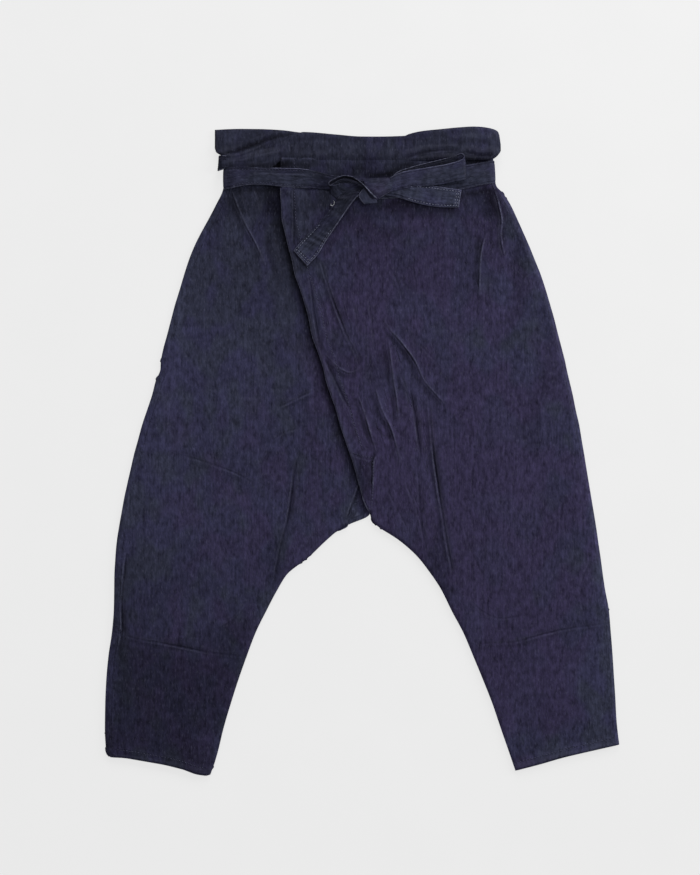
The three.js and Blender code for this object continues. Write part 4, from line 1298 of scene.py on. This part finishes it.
# Tones below 1 paint shade where a strip lies in the bow's hollows, under the loops and behind the waist;
# tones above 1 paint light. rubbed_and_lit paints the edges lighter, worn and lit.
STRIPS = {
    "tie_back_lower": dict(rows=TIE_BACK_LOWER, seed=21),
    "tie_back_upper": dict(rows=TIE_BACK_UPPER, camber=0.1, tone=0.45, rubbed_and_lit=(0, 0), seed=22),
    "tie_left_run": dict(
        rows=TIE_LEFT,
        tone=[(0, 0.4), (0.3, 0.44), (0.36, 0.52), (0.42, 0.86), (0.7, 0.86), (1, 0.66)],
        rubbed_and_lit=(LEFT_TIE_SHOWS, LEFT_TIE_SHOWS),
        lines=[
            (3.2, [(0, 0), (0.38, 0), (0.44, 0.9), (0.8, 0.8), (0.9, 0)]),
            (6.4, [(0, 0), (0.38, 0), (0.44, 0.8), (0.7, 0.5), (0.8, 0)]),
        ],
        stitched=(0.42, 0.9),
        seed=23,
    ),
    "tie_right_run": dict(rows=TIE_RIGHT, tone=0.92, rubbed_and_lit=(0.8, 0.4), seed=24),
    "bow_loop_right": dict(
        rows=LOOP_RIGHT,
        tone=[(0, 0.3), (0.36, 0.34), (0.44, 0.4), (0.5, 0.7), (0.56, 1.1), (0.9, 1.12), (1, 1.0)],
        rubbed_and_lit=(0, [(0, 0.4), (0.36, 0.45), (0.44, 0.1), (0.5, 0.2), (0.55, 1.0), (0.62, 0.8), (1, 0.4)]),
        wrinkles=0.1,
        wall=LOOP_WALL,
        seed=25,
    ),
    "bow_loop_left": dict(
        rows=LOOP_LEFT,
        camber=0.2,
        tone=[
            (0, 0.3), (0.3, 0.24), (0.62, 0.24), (0.68, 0.62),
            (0.8, 0.8), (0.88, 0.66), (0.94, 0.4), (1, 0.32),
        ],
        rubbed_and_lit=(
            [(0, 0), (0.3, 0.1), (0.38, 0.9), (0.6, 0.9), (0.64, 0), (1, 0)],
            [(0, 1.6), (0.6, 1.6), (0.66, 0.2), (1, 0)],
        ),
        wall=LOOP_WALL,
        hemmed=False,
        seed=26,
    ),
    "bow_tail_left": dict(
        rows=TAIL_LEFT,
        tone=[(0, 0.4), (0.35, 0.5), (0.6, 0.72), (0.88, 0.95), (1, 1.2)],
        rubbed_and_lit=([(0, 0), (0.6, 0), (0.8, 0.4), (1, 0.9)], [(0, 1.3), (1, 1.3)]),
        wrinkles=0.25,
        hem_end=True,
        stitched=(0.55, 1),
        seed=27,
    ),
    "bow_tail_right": dict(
        rows=TAIL_RIGHT,
        tone=[(0, 0.95), (0.3, 1.15), (0.8, 1.3), (1, 1.55)],
        rubbed_and_lit=([(0, 0.3), (0.3, 1.0), (1, 1.0)], [(0, 0), (0.6, 0.1), (0.75, 0.8), (1, 0.9)]),
        wrinkles=0.2,
        hem_end=True,
        stitched=(0.3, 1),
        seed=28,
    ),
}
WING = dict(
    rows=KNOT_WING,
    tone=[(0, 1.0), (0.5, 1.15), (1, 1.25)],
    rubbed_and_lit=(1.6, 0.0),
    lines=[(4.0, [(0, 1.2), (0.55, 0.9), (0.85, 0.0)])],
    wall=LOOP_WALL,
    hemmed=False,
    seed=29,
)
strip_stitches = {"plain": [], "worn": []}  # lines that stitches follow on the ties and their tails


def by_share(value, s):
    """A number, or (share along, value) pairs, as a column with a value for each distance s."""
    if np.isscalar(value):
        return np.full((len(s), 1), float(value))
    return np.interp(s / s[-1], *np.array(value, float).T)[:, None]


def strip_relief(at_edge, along, across, hemmed, wrinkles, seed):
    """Rounded edges, the ditch of the seam, and small waves of a strip's cloth."""
    q = np.stack([along.ravel(), across.ravel()], 1)
    crimp, soft, crosswise = (
        waves(q, *look, seed + k).reshape(at_edge.shape) for k, look in enumerate(STRIP_WAVES)
    )
    drop, wide = EDGE_ROUND
    rounding = -drop * (1 - quarter_round(at_edge / wide))
    ditch = -hemmed * beside(at_edge - SEAM_IN, SEAM_DITCH)
    return CRIMP * crimp * np.exp(-at_edge / 5) + SWELL * soft + rounding + ditch + wrinkles * crosswise


def pressed_lines(from_b, lines, s):
    """Signed distance to the nearest of the lines pressed along a strip, and its strength."""
    signed, strength = np.full_like(from_b, 2 * LINE_REACH), np.zeros_like(from_b)
    for distance, sharp in lines:
        from_line = from_b - distance
        closer = np.abs(from_line) < np.abs(signed)
        signed = np.where(closer, from_line, signed)
        strength = np.where(closer, by_share(sharp, s), strength)
    return signed, strength


def strip(name, rows, camber=0.5, tone=1.0, rubbed_and_lit=(1, 1), lines=(), wrinkles=0.0, wall=TIE,
          hemmed=True, hem_end=False, stitched=None, seed=1):
    """A hemmed strip between two edges. Rows: ax ay az bx by bz, in mm, a smooth curve apart.

    tone is the lightness of the cloth's colour with painted shade and painted light, and
    rubbed_and_lit how much lighter edges a and b are, worn and with painted highlight; each is a
    number or (share along, value) pairs. lines are distances from edge b of lines pressed along it,
    with their strength. stitched says between which shares of its length the stitches along its
    edges show, hem_end that its end is hemmed, and wrinkles how high its cross wrinkles stand.
    """
    middle = 0.5 * (rows[:, :3] + rows[:, 3:])
    hops = np.maximum(np.linalg.norm(np.diff(middle, axis=0), axis=1), 0.5)
    run = np.concatenate([[0], np.cumsum(hops)])
    count = int(run[-1] / STRIP_STEP) + 2
    s = np.linspace(0, run[-1], count)
    a, b = curve_through(run, rows[:, :3], s), curve_through(run, rows[:, 3:], s)
    t = STRIP_SHARES
    grid = a[:, None] + (b - a)[:, None] * t[None, :, None]
    width = np.linalg.norm(b - a, axis=1)[:, None]
    across = t[None, :] * width
    along = np.broadcast_to(s[:, None], across.shape)
    at_edge = np.minimum(across, width - across)
    normal, _ = surface_normals(grid)
    height = camber * np.sin(math.pi * t) + strip_relief(at_edge, along, across, hemmed, wrinkles, seed)
    seam = np.abs(at_edge - SEAM_IN) if hemmed else np.full_like(at_edge, FAR)
    worn_a, worn_b = (np.maximum(by_share(value, s), 0.02) for value in rubbed_and_lit)
    edge = np.minimum(across / worn_a, (width - across) / worn_b)
    from_end = s[-1] - along
    if hem_end:
        for depth in HEM_SEAMS:
            height = height - beside(from_end - depth, HEM_DITCH)
            seam = np.minimum(seam, np.abs(from_end - depth))
        height = height + HEM_END_RISE * (1 - smoothstep(8, 10, from_end))
        edge = np.minimum(edge, from_end / HEM_WEAR)
    grid = grid + normal * height[..., None]
    if stitched:
        shown = slice(*(int(share * count) for share in stitched))
        for share in (SEAM_IN / width[:, 0], (width[:, 0] - SEAM_IN) / width[:, 0]):
            line = [straight_through(t, row, [at])[0] for row, at in zip(grid, share)]
            strip_stitches["worn" if hem_end else "plain"].append(np.array(line)[shown])
    if hem_end:
        for depth in HEM_SEAMS:
            strip_stitches["worn"].append(grid[np.argmin(np.abs(from_end[:, 0] - depth)), 3:-3])
    marks = np.stack([seam, edge, hollows(grid)], -1)
    cloth = np.stack([across, along, np.full_like(across, -0.35)], -1)
    tones = np.broadcast_to(by_share(tone, s), across.shape)
    folds = np.stack([*pressed_lines(width - across, lines, s), tones], -1)
    return shell(name, grid, marks, cloth, folds, wall, TIE_DENIM)


KNOT_BASE = 1.2  # how high the knot's edge stands on the bow, and its middle above that
KNOT_RISE = 3.8
KNOT_STEPS = 36


def knot():
    """A tight patch, nearly flat on top, with its lower edge lighter, worn and with painted highlight, and
    painted shade along its top.
    """
    top_left, top_right, low_right, low_left = KNOT_CORNERS
    t = 0.5 - 0.5 * np.cos(np.linspace(0, math.pi, KNOT_STEPS))
    u, v = np.meshgrid(t, t)
    left = top_left + (low_left - top_left) * v[..., None]
    right = top_right + (low_right - top_right) * v[..., None]
    xy = left + (right - left) * u[..., None]
    corner = (np.abs(2 * u - 1) ** 5 + np.abs(2 * v - 1) ** 5) / 2
    xy = xy + (xy.reshape(-1, 2).mean(0) - xy) * (0.07 * corner)[..., None]
    # it slopes up from under the left loop, and ends at the height of the right one
    across_dome = (0.42 + 0.58 * smoothstep(-0.05, 0.32, u)) * (1 - 0.35 * smoothstep(0.8, 1.0, u))
    dome = across_dome * (1 - np.abs(2 * v - 1) ** 3.4) ** 0.5
    inside = smoothstep(0.1, 0.35, u) * (1 - np.abs(2 * v - 1) ** 4)
    folds = (0.35 * np.sin(v * 9 + 1.7 * u + 0.6) + 0.22 * np.sin(v * 21 - 3.0 * u)) * inside
    grid = with_height(xy, BOW_Z + KNOT_BASE + KNOT_RISE * dome + folds)
    low_edge = (1 - v) * 24 / smoothstep(0.1, 0.5, u).clip(0.02)
    marks = np.stack([np.full_like(u, FAR), low_edge, hollows(grid)], -1)
    cloth = np.stack([v * 32, u * 40, np.full_like(u, 0.2)], -1)
    # painted shade along the knot's top edge
    tone = 1.0 - 0.4 * smoothstep(0.35, 0.0, v)
    looks = np.stack([np.full_like(u, 2 * LINE_REACH), np.zeros_like(u), tone], -1)
    return shell("bow_knot_cloth", grid, marks, cloth, looks, TIE, TIE_DENIM)


# ---------------------------------------------------------------- stitches and the loose thread
STITCH_LENGTH = 3.0
STITCH_STEP = 4.2
SIDES = 6  # of a stitch's thread
STITCH_RINGS = (
    # share of its length, share of its radius, height of its middle
    (-0.5, 0.12, -0.25),
    (-0.3, 0.85, 0.12),
    (0.0, 1.0, 0.22),
    (0.3, 0.85, 0.12),
    (0.5, 0.12, -0.25),
)


def stitch_runs(line):
    """Middle points and directions of the stitches along a polyline (rows of xyz in mm)."""
    run = run_lengths(line)
    s = np.arange(STITCH_STEP, run[-1] - STITCH_STEP / 2, STITCH_STEP)
    points = straight_through(run, line, s)
    return points, unit(straight_through(run, line, s + 0.5) - points)


def tube_faces(rings, sides):
    """Faces round a tube whose points are numbered ring by ring."""
    i, k = np.meshgrid(np.arange(rings - 1), np.arange(sides), indexing="ij")
    a, b = i * sides + k, i * sides + (k + 1) % sides
    return np.stack([a, b, b + sides, a + sides], -1).reshape(-1, 4)


FRONT_THREAD = 0.42  # radius of the thread, on the fronts, the ties and the worn tails
TIE_THREAD = 0.3
TAIL_THREAD = 0.34


def stitches(name, lines, material, radius):
    """One joined mesh of short threads lying along the lines, sunk at their ends."""
    points, directions = zip(*(stitch_runs(line) for line in lines))
    middle, ahead = np.concatenate(points), np.concatenate(directions)
    up = np.array([0.0, 0.0, 1.0])
    side = unit(np.cross(ahead, up))
    verts = []
    for share, thin, height in STITCH_RINGS:
        centre = middle + ahead * share * STITCH_LENGTH + up * height
        for turn in np.arange(SIDES) * 2 * math.pi / SIDES:
            verts.append(centre + (side * math.cos(turn) + up * math.sin(turn)) * thin * radius)
    count = len(verts)
    caps = np.array([(0, 5, 4, 3), (3, 2, 1, 0)])
    one = np.concatenate([tube_faces(len(STITCH_RINGS), SIDES), caps, caps[:, ::-1] + count - SIDES])
    faces = one[None] + (np.arange(len(middle)) * count)[:, None, None]
    return make_mesh(name, np.stack(verts, 1).reshape(-1, 3), faces.reshape(-1, 4), material)


def on_front(line, side, upper):
    """A line drawn in plan, laid on top of a front."""
    return np.column_stack([line, front_top(line, side, upper)])


HOOK = {
    # points in pixels of the picture, and their heights in mm above the bow
    "xy": [
        (333.4, 201.2), (334.3, 202.2), (334.2, 203.9), (333.4, 205.7), (331.9, 206.6),
        (330.9, 205.6), (331.2, 204.4),
    ],
    "height": [2.2, 2.8, 2.8, 2.5, 2.3, 2.1, 2.0],
}
HOOK_RADIUS = 0.28
HOOK_SIDES = 8


def loose_thread():
    """The pale end of a basting thread, hooked like a J, on the left loop."""
    line = np.column_stack([plan(HOOK["xy"]), BOW_Z + np.array(HOOK["height"])])
    line = smooth_line(line, 0.5)
    ahead = np.gradient(line, axis=0)
    side = unit(np.cross(ahead, [0, 0, 1.0]))
    up = unit(np.cross(side, ahead))
    turns = np.arange(HOOK_SIDES) * 2 * math.pi / HOOK_SIDES
    ring = np.cos(turns)[None, :, None] * side[:, None] + np.sin(turns)[None, :, None] * up[:, None]
    number = np.arange(len(line))
    radius = HOOK_RADIUS * np.sqrt(np.clip(np.minimum(number, number[::-1]) / 2, 0.02, 1))
    verts = (line[:, None] + ring * radius[:, None, None]).reshape(-1, 3)
    caps = np.array([(3, 2, 1, 0), (7, 4, 3, 0), (6, 5, 4, 7)])
    last_ring = (len(line) - 1) * HOOK_SIDES
    faces = np.concatenate([tube_faces(len(line), HOOK_SIDES), caps, caps[:, ::-1] + last_ring])
    return make_mesh("loose_thread", verts, faces, PALE_THREAD)


def keep(obj, node):
    """obj stands for a CAD node of the one body."""
    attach(obj, "root")
    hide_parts(node)


def extra(obj):
    """obj goes with the garment, but stands for no CAD node."""
    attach(obj, "root")
    return obj


keep(back("right"), "back_right")
keep(back("left"), "back_left")
right_seams = [HEM_STITCH["right"], OUTSEAM["right"]]
left_seams = [HEM_STITCH["left"], OUTSEAM["left"], WRAP_STITCH, GUSSET_SEAM]
keep(front("right", BODY["under"], False, right_seams, [HEM["right"]]), "front_right")
keep(front("left", BODY["wrap"], True, left_seams, [HEM["left"], OPEN_WRAP_EDGE]), "front_left")
keep(gusset(), "crotch_gusset")

for node, look in BANDS.items():
    keep(band(node + "_cloth", **look), node)
for node, look in STRIPS.items():
    keep(strip(node + "_cloth", **look), node)
keep(knot(), "bow_knot")
wing = extra(strip("bow_knot_wing", **WING))

right_lines = [on_front(HEM_STITCH["right"], "right", False)]
left_lines = [
    on_front(line, "left", True) for line in (HEM_STITCH["left"], WRAP_STITCH, offset_line(GUSSET_SEAM, 2.2))
]
right_stitches = extra(stitches("stitches_right", right_lines, THREAD, FRONT_THREAD))
left_stitches = extra(stitches("stitches_left", left_lines, THREAD, FRONT_THREAD))
ties_stitches = extra(stitches("stitches_ties", strip_stitches["plain"], THREAD, TIE_THREAD))
tails_stitches = extra(stitches("stitches_tails", strip_stitches["worn"], WORN_THREAD, TAIL_THREAD))
basting = extra(loose_thread())
